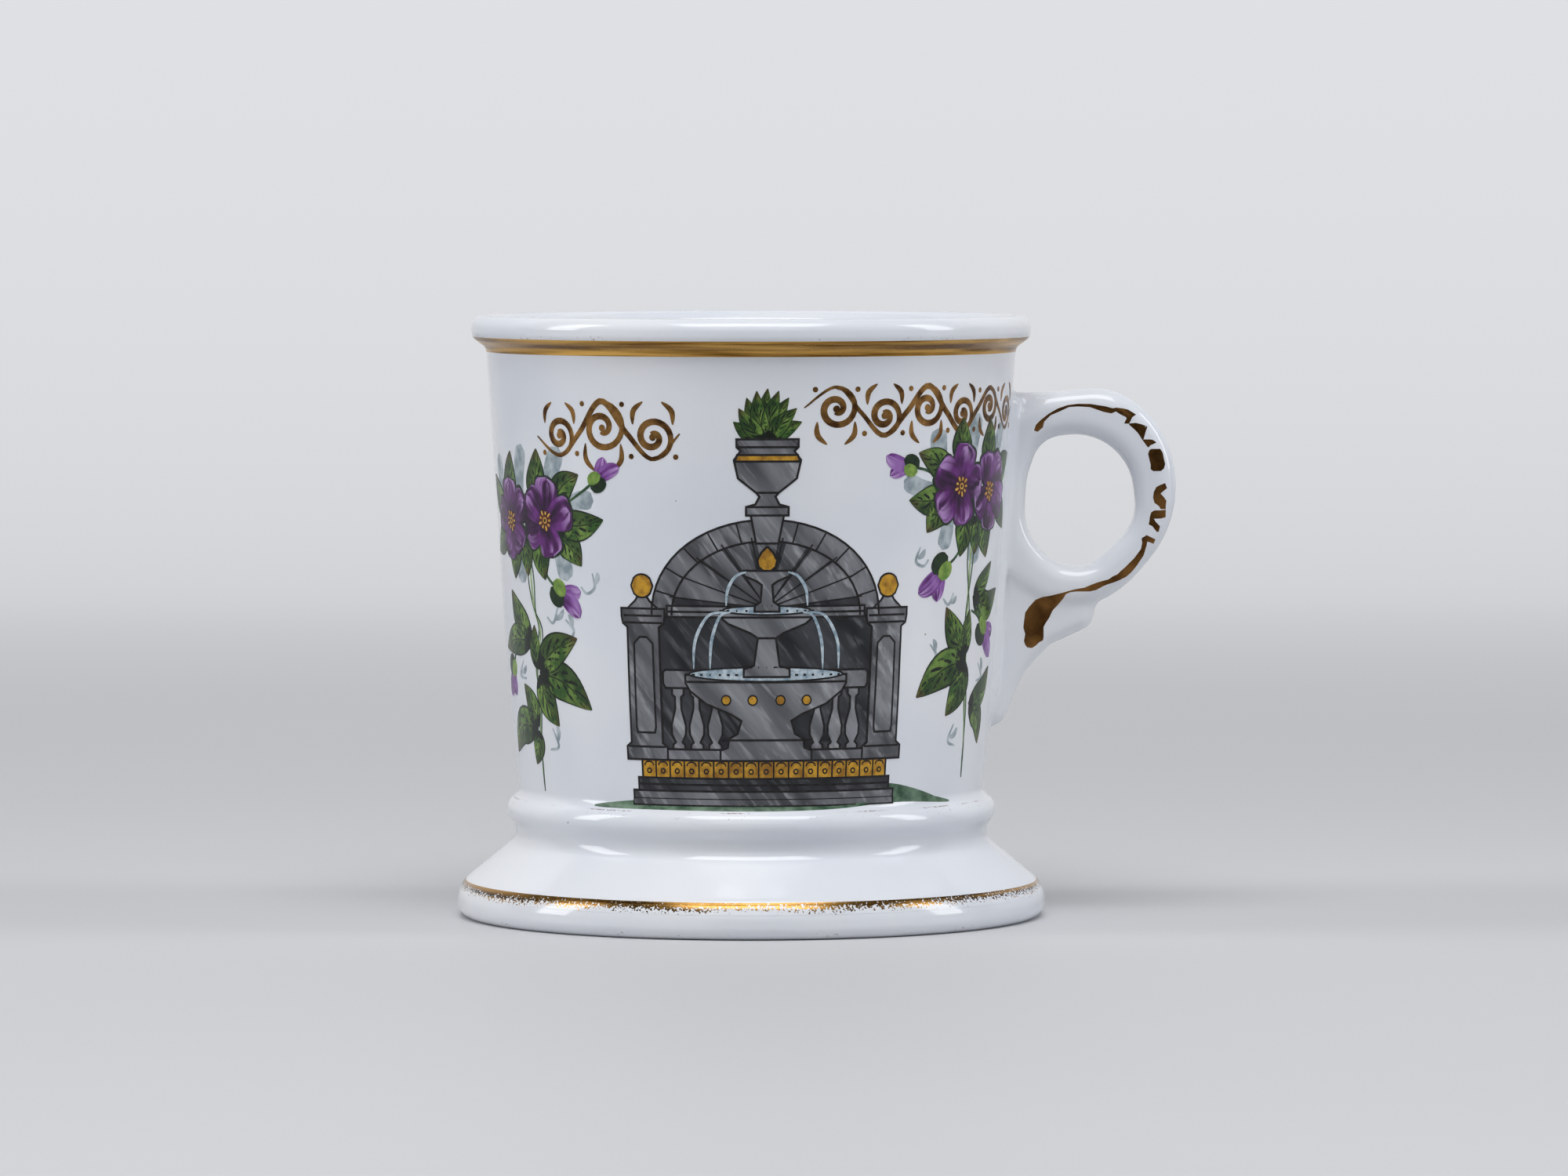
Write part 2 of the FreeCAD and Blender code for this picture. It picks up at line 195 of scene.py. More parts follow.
@dataclass(frozen=True)
class GlazedPorcelain:
    """Hard-paste porcelain, slip-cast and dipped in clear glaze: white with a cool cast, wet gloss.

    Worn lines are rows of brown specks on the outside, each with its height, half width and rarity.
    The wall leans out by wall_lean, and wall_radii lie inside and outside it, leaning with it.
    """

    white: str = "#E6E8EC"
    cool: str = "#DCE0E8"
    crest_grey: str = "#B9BAC0"
    iron: str = "#4A443F"
    worn_brown: str = "#6B4A3C"
    roughness: float = 0.09
    ior: float = 1.5
    haze_mm: float = 30.0
    wave_mm: float = 16.0
    wave_depth_mm: float = 0.5
    patch_mm: float = 9.0
    pit_mm: float = 5.5
    speck_mm: float = 0.5
    rim_height: float = 95.0
    wall_lean: float = 0.072
    wall_radii: tuple = (33.3, 34.1)
    worn_lines: tuple = ((91.9, 0.45, 0.57), (18.9, 0.12, 0.44), (18.2, 0.5, 0.61), (0.8, 0.4, 0.58))

    def shader(self, add: AddNode) -> bpy.types.NodeSocket:
        """Glazed china with faint waves, sparse pits, and brown specks where gold wore off.

        Args:
            add: adds a node to the material.

        Returns:
            The shader output.
        """
        place = add("TexCoord", out="Object")
        height = add("SeparateXYZ", (place,), "Z")
        haze = add("TexNoise", {"Vector": place, "Scale": pattern(self.haze_mm), "Detail": 2.0})
        # the crest of the rim is rubbed a little grey
        crest = add("MapRange", (height, (self.rim_height - 0.16) * MM, (self.rim_height - 0.03) * MM, 0.0, 0.45))
        # iron specks: tiny dots in a few of the cells
        cells = add("TexVoronoi", {"Vector": place, "Scale": pattern(self.pit_mm)}, "Distance")
        chance = add("SeparateColor", (cells.node.outputs["Color"],), "Red")
        pits = add("Math", (add("MapRange", (cells, 0.018, 0.034, 1.0, 0.0)),
                            add("MapRange", (chance, 0.80, 0.81, 0.0, 0.8))), operation="MULTIPLY")
        grains = add("TexNoise", {"Vector": place, "Scale": pattern(self.speck_mm), "Detail": 4.0})
        patches = add("TexNoise", {"Vector": place, "Scale": pattern(self.patch_mm), "Detail": 2.0})
        patches = add("MapRange", (patches, 0.50, 0.60, 0.0, 0.8))
        reach = add("VectorMath", (place, (1.0, 1.0, 0.0)), operation="MULTIPLY")
        reach = add("VectorMath", (reach,), "Value", operation="LENGTH")
        reach = add("Math", (reach, add("Math", (height, self.wall_lean), operation="MULTIPLY")),
                    operation="SUBTRACT")
        outside = add("MapRange", (reach, self.wall_radii[0] * MM, self.wall_radii[1] * MM))
        patches = add("Math", (patches, outside), operation="MULTIPLY")
        layers = [(add("MapRange", (haze, 0.35, 0.65)), self.cool), (crest, self.crest_grey), (pits, self.iron)]
        for level, spread, rarity in self.worn_lines:
            away = add("Math", (add("Math", (height, level * MM), operation="SUBTRACT"),), operation="ABSOLUTE")
            near = add("Math", (add("MapRange", (away, 0.0, spread * MM, 1.0, 0.0)), patches), operation="MULTIPLY")
            specks = add("MapRange", (grains, rarity, rarity + 0.08))
            layers.append((add("Math", (specks, near), operation="MULTIPLY"), self.worn_brown))
        colour = self.white
        for share, tone in layers:
            colour = add("Mix", {0: share, 6: colour, 7: tone}, 2, data_type="RGBA")
        waves = add("TexNoise", {"Vector": place, "Scale": pattern(self.wave_mm), "Detail": 1.0})
        bump = add("Bump", {"Height": waves, "Strength": 0.02, "Distance": self.wave_depth_mm * MM})
        return add("BsdfPrincipled", {
            "Base Color": colour, "Roughness": self.roughness, "IOR": self.ior, "Normal": bump})

    def material(self) -> bpy.types.Material:
        """The china as a material of its own."""
        material, add = new_material("glazed_porcelain")
        add("OutputMaterial", (self.shader(add),))
        return material


class GoldKind(Enum):
    """How a gold was laid and what time did to it."""

    BURNISHED = "bright_burnished_gold"
    WORN_LINE = "worn_gold_line"
    PAINTED = "matt_painted_gold"
    HANDLE = "brushed_handle_gold"


@dataclass(frozen=True)
class FiredGold:
    """Liquid gold painted on the glaze and fired: warm metal, dull brown where the brush ran thin."""

    kind: GoldKind
    bright: str
    dull: str
    roughness: float
    grain_mm: float = 1.6
    turns_per_drift: float = 9.0

    def material(self) -> bpy.types.Material:
        """Gold whose tone drifts, drawn out along the band where it was laid on the wheel.

        Returns:
            The material.
        """
        material, add = new_material(self.kind.value)
        place = add("TexCoord", out="Object")
        if self.kind in (GoldKind.BURNISHED, GoldKind.WORN_LINE):
            uv = add("UVMap")
            drawn = add("Mapping", {"Vector": uv, "Scale": (self.turns_per_drift, 2.6, 1.0)})
            drift = add("TexNoise", {"Vector": drawn, "Scale": 1.0, "Detail": 5.0})
        else:
            drift = add("TexNoise", {"Vector": place, "Scale": pattern(self.grain_mm), "Detail": 3.0})
        drift = add("MapRange", (drift, 0.38, 0.62))
        colour = add("Mix", {0: drift, 6: self.dull, 7: self.bright}, 2, data_type="RGBA")
        rough = add("TexNoise", {"Vector": place, "Scale": pattern(0.7), "Detail": 3.0})
        rough = add("MapRange", (rough, 0.3, 0.7, self.roughness * 0.8, self.roughness * 1.4))
        gold = add("BsdfPrincipled", {"Base Color": colour, "Metallic": 1.0, "Roughness": rough})
        if self.kind is GoldKind.WORN_LINE:
            gold = self.rub(add, gold, place, uv)
        add("OutputMaterial", (gold,))
        return material

    def rub(self, add: AddNode, gold: bpy.types.NodeSocket, place: bpy.types.NodeSocket,
            uv: bpy.types.NodeSocket) -> bpy.types.NodeSocket:
        """Wear the gold off as a shelf does: whole along its upper edge, then grains that thin out downwards.

        Args:
            add: adds a node to the material.
            gold: the shader of the whole gold.
            place: the piece's own coordinates.
            uv: the ring's coordinates, with V running up across it.

        Returns:
            The shader of the worn gold on the china.
        """
        up = add("SeparateXYZ", (uv,), "Y")
        rubbed = add("MapRange", (up, 0.0, 0.95, 0.27, -0.12))
        grains = add("TexNoise", {"Vector": place, "Scale": pattern(0.36), "Detail": 2.0})
        large = add("TexNoise", {"Vector": place, "Scale": pattern(14.0), "Detail": 1.0})
        large = add("MapRange", (large, 0.3, 0.7, 0.0, 0.13))
        bare = add("Math", (add("Math", (grains, rubbed), operation="ADD"), large), operation="ADD")
        bare = add("MapRange", (bare, 0.62, 0.66))
        return add("MixShader", (bare, gold, GlazedPorcelain().shader(add)))


@dataclass(frozen=True)
class Enamel:
    """Overglaze colour, painted on the glaze and fired again: glassy, and deeper than the glaze.

    It sheds less of the pale room than the bare glaze does, which its low sheen stands for.
    """

    name: str
    sheen: ClassVar[float] = 0.28
    roughness: ClassVar[float] = 0.26

    def colour(self, add: AddNode) -> bpy.types.NodeSocket:
        """The colour of the fired paint."""
        raise NotImplementedError

    def material(self) -> bpy.types.Material:
        """The fired paint as a material."""
        material, add = new_material(self.name)
        add("OutputMaterial", (add("BsdfPrincipled", {
            "Base Color": self.colour(add), "Roughness": self.roughness, "Specular IOR Level": self.sheen}),))
        return material


@dataclass(frozen=True)
class PetalEnamel(Enamel):
    """Purple laid in with a loaded brush: one side of each petal deep, the other wiped pale."""

    deep: str
    mid: str
    light: str
    pale: str

    def colour(self, add: AddNode) -> bpy.types.NodeSocket:
        """A wash that differs across the petal (V), with soft streaks along it (U).

        Args:
            add: adds a node to the material.

        Returns:
            The colour output.
        """
        uv = add("UVMap")
        along = add("SeparateXYZ", (uv,), "X")
        place = add("TexCoord", out="Object")
        # a coarse shift keeps two petals from getting the same strokes
        shift = add("VectorMath", (place, (150.0, 150.0, 150.0)), operation="MULTIPLY")
        streak = add("Mapping", {"Vector": uv, "Scale": (0.7, 3.6, 1.0)})
        streak = add("VectorMath", (streak, shift), operation="ADD")
        streak = add("TexNoise", {"Vector": streak, "Scale": 1.0, "Detail": 2.0})
        pool = add("TexNoise", {"Vector": place, "Scale": pattern(3.4), "Detail": 1.0})
        pool = add("MapRange", (pool, 0.3, 0.7, -0.16, 0.16))
        side = add("MapRange", (along.node.outputs["Y"], 0.05, 0.95, -0.08, 0.08))
        wash = add("Math", (add("Math", (streak, side), operation="ADD"), pool), operation="ADD")
        # the tip is wiped pale in short strokes that run along the petal
        tips = add("Math", (add("MapRange", (along, 0.52, 0.92)), add("MapRange", (streak, 0.48, 0.60, 0.0, 0.9))),
                   operation="MULTIPLY")
        colour = self.deep
        for share, tone in (
                (add("MapRange", (wash, 0.26, 0.48)), self.mid), (add("MapRange", (wash, 0.46, 0.66)), self.light),
                (tips, self.pale), (add("MapRange", (along, 0.34, 0.14, 0.0, 0.6)), self.deep)):
            colour = add("Mix", {0: share, 6: colour, 7: tone}, 2, data_type="RGBA")
        return colour


@dataclass(frozen=True)
class LeafEnamel(Enamel):
    """Leaf green: a light wash with dark broken strokes beside the midrib."""

    light: str = "#6E8C40"
    mid: str = "#30541F"
    shade: str = "#183315"
    dark: str = "#09160B"
    tip: str = "#55381E"

    def colour(self, add: AddNode) -> bpy.types.NodeSocket:
        """The midrib runs along U in the middle of V, and the side strokes slant to the tip.

        Args:
            add: adds a node to the material.

        Returns:
            The colour output.
        """
        place = add("TexCoord", out="Object")
        along = add("SeparateXYZ", (add("UVMap"),), "X")
        side = add("Math", (along.node.outputs["Y"], 0.5), operation="SUBTRACT")
        off = add("Math", (side,), operation="ABSOLUTE")
        wash = add("TexNoise", {"Vector": place, "Scale": pattern(2.2), "Detail": 2.0})
        fine = add("TexNoise", {"Vector": place, "Scale": pattern(0.9), "Detail": 2.0})
        # one half of the leaf lies in shade
        half = add("MapRange", (side, -0.04, 0.14, 0.0, 0.7))
        slant = add("Math", (add("Math", (along, 31.4), operation="MULTIPLY"),
                             add("Math", (off, -25.1), operation="MULTIPLY")), operation="ADD")
        veins = add("MapRange", (add("Math", (slant,), operation="SINE"), 0.0, 0.5))
        beside = add("Math", (add("MapRange", (off, 0.03, 0.07)), add("MapRange", (off, 0.38, 0.28))),
                     operation="MULTIPLY")
        for limit in (beside, add("MapRange", (fine, 0.42, 0.50))):
            veins = add("Math", (veins, limit), operation="MULTIPLY")
        rib = add("MapRange", (off, 0.018, 0.045, 0.8, 0.0))
        edge = add("MapRange", (off, 0.42, 0.47, 0.0, 0.95))
        # the root of each leaf lies in the shade of the flower or the stem
        root = add("Math", (add("MapRange", (along, 0.30, 0.06)), fine), operation="ADD")
        root = add("MapRange", (root, 0.80, 1.05))
        brown = add("Math", (add("MapRange", (along, 0.70, 1.0)), add("MapRange", (wash, 0.38, 0.58, 0.0, 0.9))),
                    operation="MULTIPLY")
        colour = self.mid
        for share, tone in (
                (add("MapRange", (wash, 0.36, 0.62)), self.light), (half, self.shade), (brown, self.tip),
                (veins, self.dark), (rib, self.dark), (root, self.dark), (edge, self.dark)):
            colour = add("Mix", {0: share, 6: colour, 7: tone}, 2, data_type="RGBA")
        return colour


@dataclass(frozen=True)
class StoneEnamel(Enamel):
    """Grey washes dragged slantwise with a dry brush to look like polished marble."""

    dark: str
    light: str
    vein: str
    streak_mm: ClassVar[float] = 1.2
    lean: ClassVar[float] = 38.0
    roughness: ClassVar[float] = 0.30

    def colour(self, add: AddNode) -> bpy.types.NodeSocket:
        """Two layers of slanting brush streaks, the finer one pale.

        Args:
            add: adds a node to the material.

        Returns:
            The colour output.
        """
        place = add("TexCoord", out="Object")
        turned = add("Mapping", {"Vector": place, "Rotation": (0.0, math.radians(self.lean), 0.0)})
        tilted = add("Mapping", {"Vector": turned, "Scale": (1.0, 1.0, 0.13)})
        broad = add("TexNoise", {"Vector": tilted, "Scale": pattern(self.streak_mm * 3.2), "Detail": 2.0})
        fine = add("TexNoise", {"Vector": tilted, "Scale": pattern(self.streak_mm), "Detail": 3.0})
        colour = self.dark
        for share, tone in (
                (add("MapRange", (broad, 0.34, 0.66)), self.light),
                (add("MapRange", (fine, 0.54, 0.74, 0.0, 0.6)), self.vein),
                (add("MapRange", (fine, 0.44, 0.28, 0.0, 0.5)), self.dark)):
            colour = add("Mix", {0: share, 6: colour, 7: tone}, 2, data_type="RGBA")
        return colour


@dataclass(frozen=True)
class PlainEnamel(Enamel):
    """Colour of one pot, thicker and thinner where the brush went."""

    thin: str
    thick: str
    blotch_mm: float
    roughness: ClassVar[float] = 0.32

    def colour(self, add: AddNode) -> bpy.types.NodeSocket:
        """A blotchy wash of one colour."""
        place = add("TexCoord", out="Object")
        wash = add("TexNoise", {"Vector": place, "Scale": pattern(self.blotch_mm), "Detail": 3.0})
        share = add("MapRange", (wash, 0.36, 0.64))
        return add("Mix", {0: share, 6: self.thin, 7: self.thick}, 2, data_type="RGBA")


class Paint(Enum):
    """The pots and brushes of the painted front, from the lowest layer to the highest, and its gold."""

    GROUND = PlainEnamel("green_ground_wash", "#6C8670", "#33503C", 2.0)
    SHADOW = PlainEnamel("grey_shadow_wash", "#B7C1C6", "#86949B", 1.8)
    STONE_SHADE = StoneEnamel("shaded_marble_enamel", "#1C1D20", "#414348", "#6E7075")
    STONE = StoneEnamel("grey_marble_enamel", "#424347", "#7C7E83", "#B4B6BB")
    STONE_LIGHT = StoneEnamel("pale_marble_enamel", "#5A5C60", "#8A8C91", "#B8BABE")
    WATER = PlainEnamel("water_blue_enamel", "#C6D3DB", "#8096A6", 0.9)
    LEAF = LeafEnamel("green_overglaze_enamel")
    STEM = PlainEnamel("stem_green_enamel", "#3F5F38", "#1F3A24", 1.0)
    STEM_LIGHT = PlainEnamel("pale_stem_enamel", "#A9BD8E", "#86A06C", 1.0)
    BUD = PetalEnamel("lilac_overglaze_enamel", "#4F2160", "#7B4892", "#9468AC", "#BFA0CF")
    PETAL = PetalEnamel("purple_overglaze_enamel", "#260A2C", "#4E1A58", "#6B2F7C", "#B08CC2")
    CALYX = PlainEnamel("calyx_green_enamel", "#86A24C", "#5F8238", 1.1)
    CALYX_SHADE = PlainEnamel("dark_green_enamel", "#1C3419", "#0F2014", 0.9)
    DARK_HEART = PlainEnamel("crimson_flower_heart_enamel", "#5A261F", "#32141A", 0.5)
    HEART = PlainEnamel("ochre_flower_heart_enamel", "#DDAF55", "#B98432", 0.6)
    YELLOW = PlainEnamel("yellow_fitting_enamel", "#C8982F", "#8F6420", 1.4)
    INK = PlainEnamel("black_outline_enamel", "#131112", "#262324", 0.8)
    GOLD_SCROLLS = FiredGold(GoldKind.PAINTED, "#9A7343", "#523820", 0.30, 2.4)


# The mug's form


@dataclass
class MugBody:
    """The turned body: spread foot, neck, ridge, wall and rolled rim."""

    foot_radius: float = 46.5
    foot_edge: float = 4.8
    neck: Point = (36.35, 13.1)
    ridge: Point = (39.65, 17.35)
    waist: Point = (36.7, 19.6)
    belly_swell: float = 0.5
    belly_height: float = 38.0
    rim_radius: float = 44.25
    rim_overhang: float = 2.4
    bead_height: float = 3.4
    bead_depth: float = 5.1
    wall_thickness: float = 3.2
    floor_height: float = 13.5
    recess: Point = (34.1, 8.4)
    ring_width: float = 3.0
    ring_inset: float = 2.2
    round_scale: float = 39.5
    arc_step: float = math.radians(7.0)
    height: float = field(init=False)
    outside: list[Point] = field(init=False)

    def __post_init__(self) -> None:
        """Take the height from the CAD node, and keep the section from the foot up to the rim's crest."""
        self.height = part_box("mug")[1].z / MM
        points = self.profile()
        start = next(i for i, (r, _) in enumerate(points) if r > self.foot_radius - 0.01)
        end = next(i for i, (_, z) in enumerate(points) if z > self.height - 0.01)
        self.outside = points[start:end + 1]

    def wall_line(self, z: float) -> float:
        """Radius of the straight line from the waist to the rim at a height."""
        share = (z - self.waist[1]) / (self.height - self.bead_depth - self.waist[1])
        return self.waist[0] + share * (self.rim_radius - self.rim_overhang - self.waist[0])

    def profile(self) -> list[Point]:
        """The half section, from the recess out, up, in and down, with its corners rounded.

        Returns:
            Its points, as (radius, height).
        """
        mouth = self.foot_radius - self.ring_inset - self.ring_width
        inner_top = self.wall_line(self.height) - self.wall_thickness
        inner_low = self.wall_line(self.floor_height) - self.wall_thickness
        return round_path([
            (0.0, self.recess[1], 0.0),
            (*self.recess, 2.5),
            (mouth, 0.35, 0.6),
            (mouth + 0.5, 0.0, 0.3),
            (self.foot_radius, 0.0, 2.0),
            (self.foot_radius, self.foot_edge, 5.3),
            (*self.neck, 2.6),
            (*self.ridge, 2.3),
            (*self.waist, 1.9),
            (self.wall_line(self.belly_height) + self.belly_swell, self.belly_height, 520.0),
            (self.rim_radius - self.rim_overhang, self.height - self.bead_depth, 1.4),
            (self.rim_radius, self.height - self.bead_height, 1.95),
            (self.rim_radius, self.height, 1.95),
            (inner_top, self.height, 3.2),
            (inner_low, self.floor_height, 8.0),
            (0.0, self.floor_height, 0.0),
        ], self.arc_step)

    def surface(self, z: float) -> tuple[float, Vector]:
        """Outer radius at a height, and the way that the surface faces there, as (outwards, up)."""
        index = bisect_left(self.outside, z, key=lambda point: point[1])
        (r0, z0), (r1, z1) = self.outside[index - 1:index + 1]
        return r0 + (r1 - r0) * (z - z0) / (z1 - z0), Vector((z1 - z0, r0 - r1)).normalized()

    def place(self, u: float, z: float) -> tuple[Vector, Vector]:
        """The point of the wall, in metres, and its normal at a distance round the mug and a height."""
        radius, slope = self.surface(z)
        angle = u / self.round_scale
        outward = Vector((math.sin(angle), -math.cos(angle), 0.0))
        normal = outward * slope.x + Vector((0.0, 0.0, slope.y))
        return outward * radius * MM + Vector((0.0, 0.0, z * MM)), normal

    def build(self, china: bpy.types.Material) -> bpy.types.Object:
        """Spin the half section into the body, in glazed china."""
        body = spin_profile("mug_body", self.profile(), closed_at_axis=True)
        cover(body, china, 60)
        return body


def round_path(corners: Sequence[Corner], arc_step: float, closed: bool = False) -> list[Point]:
    """Points along straight sides whose corners are rounded by tangent arcs.

    Args:
        corners: (across, up, rounding) of each corner.
        arc_step: turn between two points of an arc, in radians.
        closed: whether the last corner joins the first.

    Returns:
        The points in order.
    """
    count = len(corners)
    places = [Vector(corner[:2]) for corner in corners]
    ways = [((places[i - 1] - here).normalized(), (places[(i + 1) % count] - here).normalized())
            for i, here in enumerate(places)]
    cuts, halves = [0.0] * count, [0.0] * count
    for i in range(count) if closed else range(1, count - 1):
        halves[i] = ways[i][0].angle(ways[i][1]) / 2
        cuts[i] = corners[i][2] / math.tan(halves[i])
    for i in range(count if closed else count - 1):
        follower = (i + 1) % count
        room = 0.98 * (places[follower] - places[i]).length
        wanted = cuts[i] + cuts[follower]
        if wanted > room:
            cuts[i] *= room / wanted
            cuts[follower] *= room / wanted
    points: list[Point] = []
    for place, (before, after), cut, half in zip(places, ways, cuts, halves):
        if not cut:
            points.append(tuple(place))
            continue
        radius = cut * math.tan(half)
        centre = place + (before + after).normalized() * math.hypot(radius, cut)
        start = place + before * cut - centre
        turn = math.pi - 2 * half
        side = 1 if start.x * before.y - start.y * before.x < 0 else -1
        number = max(2, math.ceil(turn / arc_step))
        for k in range(number + 1):
            angle = side * turn * k / number
            cosine, sine = math.cos(angle), math.sin(angle)
            points.append((centre.x + start.x * cosine - start.y * sine,
                           centre.y + start.x * sine + start.y * cosine))
    return points


def draw_outline(name: str, points: Sequence[Point], y: float = 0.0, fill: str = "NOTHING") -> bpy.types.Object:
    """Shape a circle into a closed outline in an upright plane.

    Args:
        name: the piece's name.
        points: (x, z) of the outline.
        y: where its plane lies.
        fill: Blender's name for the circle's filling.

    Returns:
        The outline.
    """
    deselect()
    bpy.ops.mesh.primitive_circle_add(vertices=len(points), radius=1.0, fill_type=fill)
    piece = bpy.context.object
    piece.name = piece.data.name = name
    for vertex, (x, z) in zip(piece.data.vertices, points):
        vertex.co = (x * MM, y * MM, z * MM)
    return piece


def close_up() -> None:
    """Merge the doubles of the shell in edit mode, turn its faces outwards, and go to object mode."""
    bpy.ops.mesh.select_all(action="SELECT")
    bpy.ops.mesh.remove_doubles(threshold=1e-6)
    bpy.ops.mesh.normals_make_consistent(inside=False)
    bpy.ops.object.mode_set(mode="OBJECT")


def spin_profile(name: str, points: Sequence[Point], closed_at_axis: bool) -> bpy.types.Object:
    """Spin a section about the mug's axis.

    Args:
        name: the piece's name.
        points: (radius, height) of the section.
        closed_at_axis: whether the section starts and ends on the axis, or else closes on itself.

    Returns:
        The piece, with its normals outwards.
    """
    piece = draw_outline(name, points)
    if closed_at_axis:
        for edge in piece.data.edges:
            edge.select = set(edge.vertices) == {0, len(points) - 1}
        for vertex in piece.data.vertices:
            vertex.select = False
    bpy.ops.object.mode_set(mode="EDIT")
    if closed_at_axis:
        bpy.ops.mesh.select_mode(type="EDGE")
        bpy.ops.mesh.delete(type="EDGE")
    bpy.ops.mesh.select_all(action="SELECT")
    bpy.ops.mesh.spin(steps=ROUND_STEPS, angle=TURN, center=(0, 0, 0), axis=(0, 0, 1))
    close_up()
    return piece


@dataclass
class MugHandle:
    """The cast handle: a round finger ring that flows into the wall above, and into a spur and tail below.

    The hole's and the ring's shape give each corner's place and rounding as shares of the half width
    and the half height. All plates run into the wall by their sink.
    """

    body: MugBody
    drop: float = 11.55
    hole_width: float = 17.35
    hole_height: float = 20.8
    hole_gap: float = 3.15
    hole_margin: float = 0.9
    band_top: float = 7.35
    band_side: float = 6.5
    band_bottom: float = 6.3
    tail_length: float = 19.4
    spur_reach: float = 14.8
    ring_thickness: float = 8.4
    ring_round: float = 2.7
    web_thickness: float = 6.0
    web_round: float = 2.2
    root_thickness: float = 9.8
    root_round: float = 1.0
    sink: float = 2.0
    pad_thickness: float = 2.4
    pad_reach: float = 0.25
    pad_rows: int = 24
    voxel: float = 0.36
    soften: int = 12
    hole_shape: tuple = (
        (-0.960, 0.360, 0.97), (-0.720, 0.940, 0.57), (0.382, 1.057, 1.07), (0.948, 0.453, 1.04),
        (1.054, -0.341, 0.83), (0.217, -0.994, 0.60), (-0.439, -1.012, 0.83), (-1.021, -0.429, 1.03))
    ring_shape: tuple = (
        (-1.03, 0.647, 0.60), (-0.391, 0.959, 0.59), (0.339, 1.015, 0.69), (0.919, 0.670, 1.02),
        (1.080, -0.199, 1.19), (0.528, -0.769, 1.00), (0.185, -1.010, 0.76), (-0.426, -0.987, 0.59),
        (-1.03, -0.571, 0.59))

    def __post_init__(self) -> None:
        """Work out the ring's frame from the sizes."""
        self.top = self.body.height - self.drop
        self.half_height = self.hole_height / 2
        self.half_width = self.hole_width / 2
        self.width = self.half_width + self.band_side
        self.centre_z = self.top - self.band_top - self.half_height
        self.centre_x = self.body.wall_line(self.centre_z) + self.hole_gap + self.half_width
        self.ring_bottom = self.centre_z - self.half_height - self.band_bottom
        self.tip = self.ring_bottom - self.tail_length

    def by_wall(self, out: float, z: float, rounding: float = 0.0) -> Corner:
        """A corner at a distance out of the wall."""
        return self.body.wall_line(z) + out, z, rounding

    def hole(self, grow: float) -> list[Corner]:
        """Corners of the finger hole, seen from the side, widened by a margin."""
        return [(self.centre_x + u * (self.half_width + grow), self.centre_z + v * (self.half_height + grow),
                 r * self.half_width) for u, v, r in self.hole_shape]

    def ring(self) -> list[Corner]:
        """Corners of the ring round the hole."""
        return [(self.centre_x + u * self.width,
                 self.centre_z + v * (self.half_height + (self.band_top if v > 0 else self.band_bottom)),
                 r * self.width) for u, v, r in self.ring_shape]

    def web(self) -> list[Corner]:
        """Corners of the web between the wall and the top of the ring."""
        brow = self.top - 0.7
        ring_x = self.centre_x - 0.2 * self.width
        depth = self.half_height + self.band_top
        high, low = self.centre_z + 0.55 * depth, self.centre_z + 0.2 * depth
        return [
            self.by_wall(-self.sink, brow), (ring_x, brow, 0.0), (ring_x + 3.0, high + 4.0, 0.0),
            (ring_x - 3.0, high + 4.6, 0.0), (self.centre_x - 0.75 * self.width, low, 0.0),
            self.by_wall(-self.sink, low)]

    def tail(self) -> list[Corner]:
        """Corners of the spur and the tail under the ring, where the ring hides the last of them."""
        spur = [self.by_wall(out * self.spur_reach, self.ring_bottom - down * self.tail_length, rounding)
                for out, down, rounding in ((1.049, 0.006, 3.2), (1.037, 0.161, 2.8), (0.597, 0.320, 2.0),
                                            (0.326, 0.554, 15.7), (0.150, 0.982, 3.2))]
        depth = self.half_height + self.band_bottom
        start, *hidden = [(self.centre_x + u * self.width, self.centre_z + v * depth, 0.0)
                          for u, v in ((0.41, -0.73), (-0.716, -0.341), (-0.387, -0.73), (0.14, -0.79))]
        return [start, *spur, self.by_wall(-self.sink, self.tip),
                self.by_wall(-self.sink, self.centre_z - 0.2 * depth), *hidden]

    def root(self) -> list[Corner]:
        """Corners of the thicker strip along the wall."""
        low, high = self.tip + 1.5, self.top - 1.4
        return [self.by_wall(-self.sink, high), self.by_wall(1.1, high, 0.8), self.by_wall(1.1, low + 5.0, 3.0),
                self.by_wall(0.2, low, 0.3), self.by_wall(-self.sink, low)]

    def plate(self, name: str, corners: Sequence[Corner], thickness: float) -> bpy.types.Object:
        """A flat closed plate.

        Args:
            name: the plate's name.
            corners: corners of its outline in the XZ plane.
            thickness: its depth along Y.

        Returns:
            The plate.
        """
        piece = draw_outline(name, round_path(corners, math.radians(9), closed=True), -thickness / 2, "NGON")
        bpy.ops.object.mode_set(mode="EDIT")
        bpy.ops.mesh.select_all(action="SELECT")
        bpy.ops.mesh.extrude_region_move(TRANSFORM_OT_translate={"value": (0, thickness * MM, 0)})
        close_up()
        return piece

    def round_edges(self, piece: bpy.types.Object, radius: float) -> None:
        """Round the long edges of a plate."""
        finish_modifier(piece, "BEVEL", width=radius * MM, segments=5, limit_method="ANGLE",
                        angle_limit=math.radians(60), use_clamp_overlap=False)

    def pierce(self, piece: bpy.types.Object, grow: float = 0.0) -> None:
        """Cut the finger hole, widened by a margin, through a plate."""
        tool = self.plate("hole", self.hole(grow), self.ring_thickness * 2)
        finish_modifier(piece, "BOOLEAN", object=tool, operation="DIFFERENCE", solver="EXACT")
        bpy.data.objects.remove(tool)

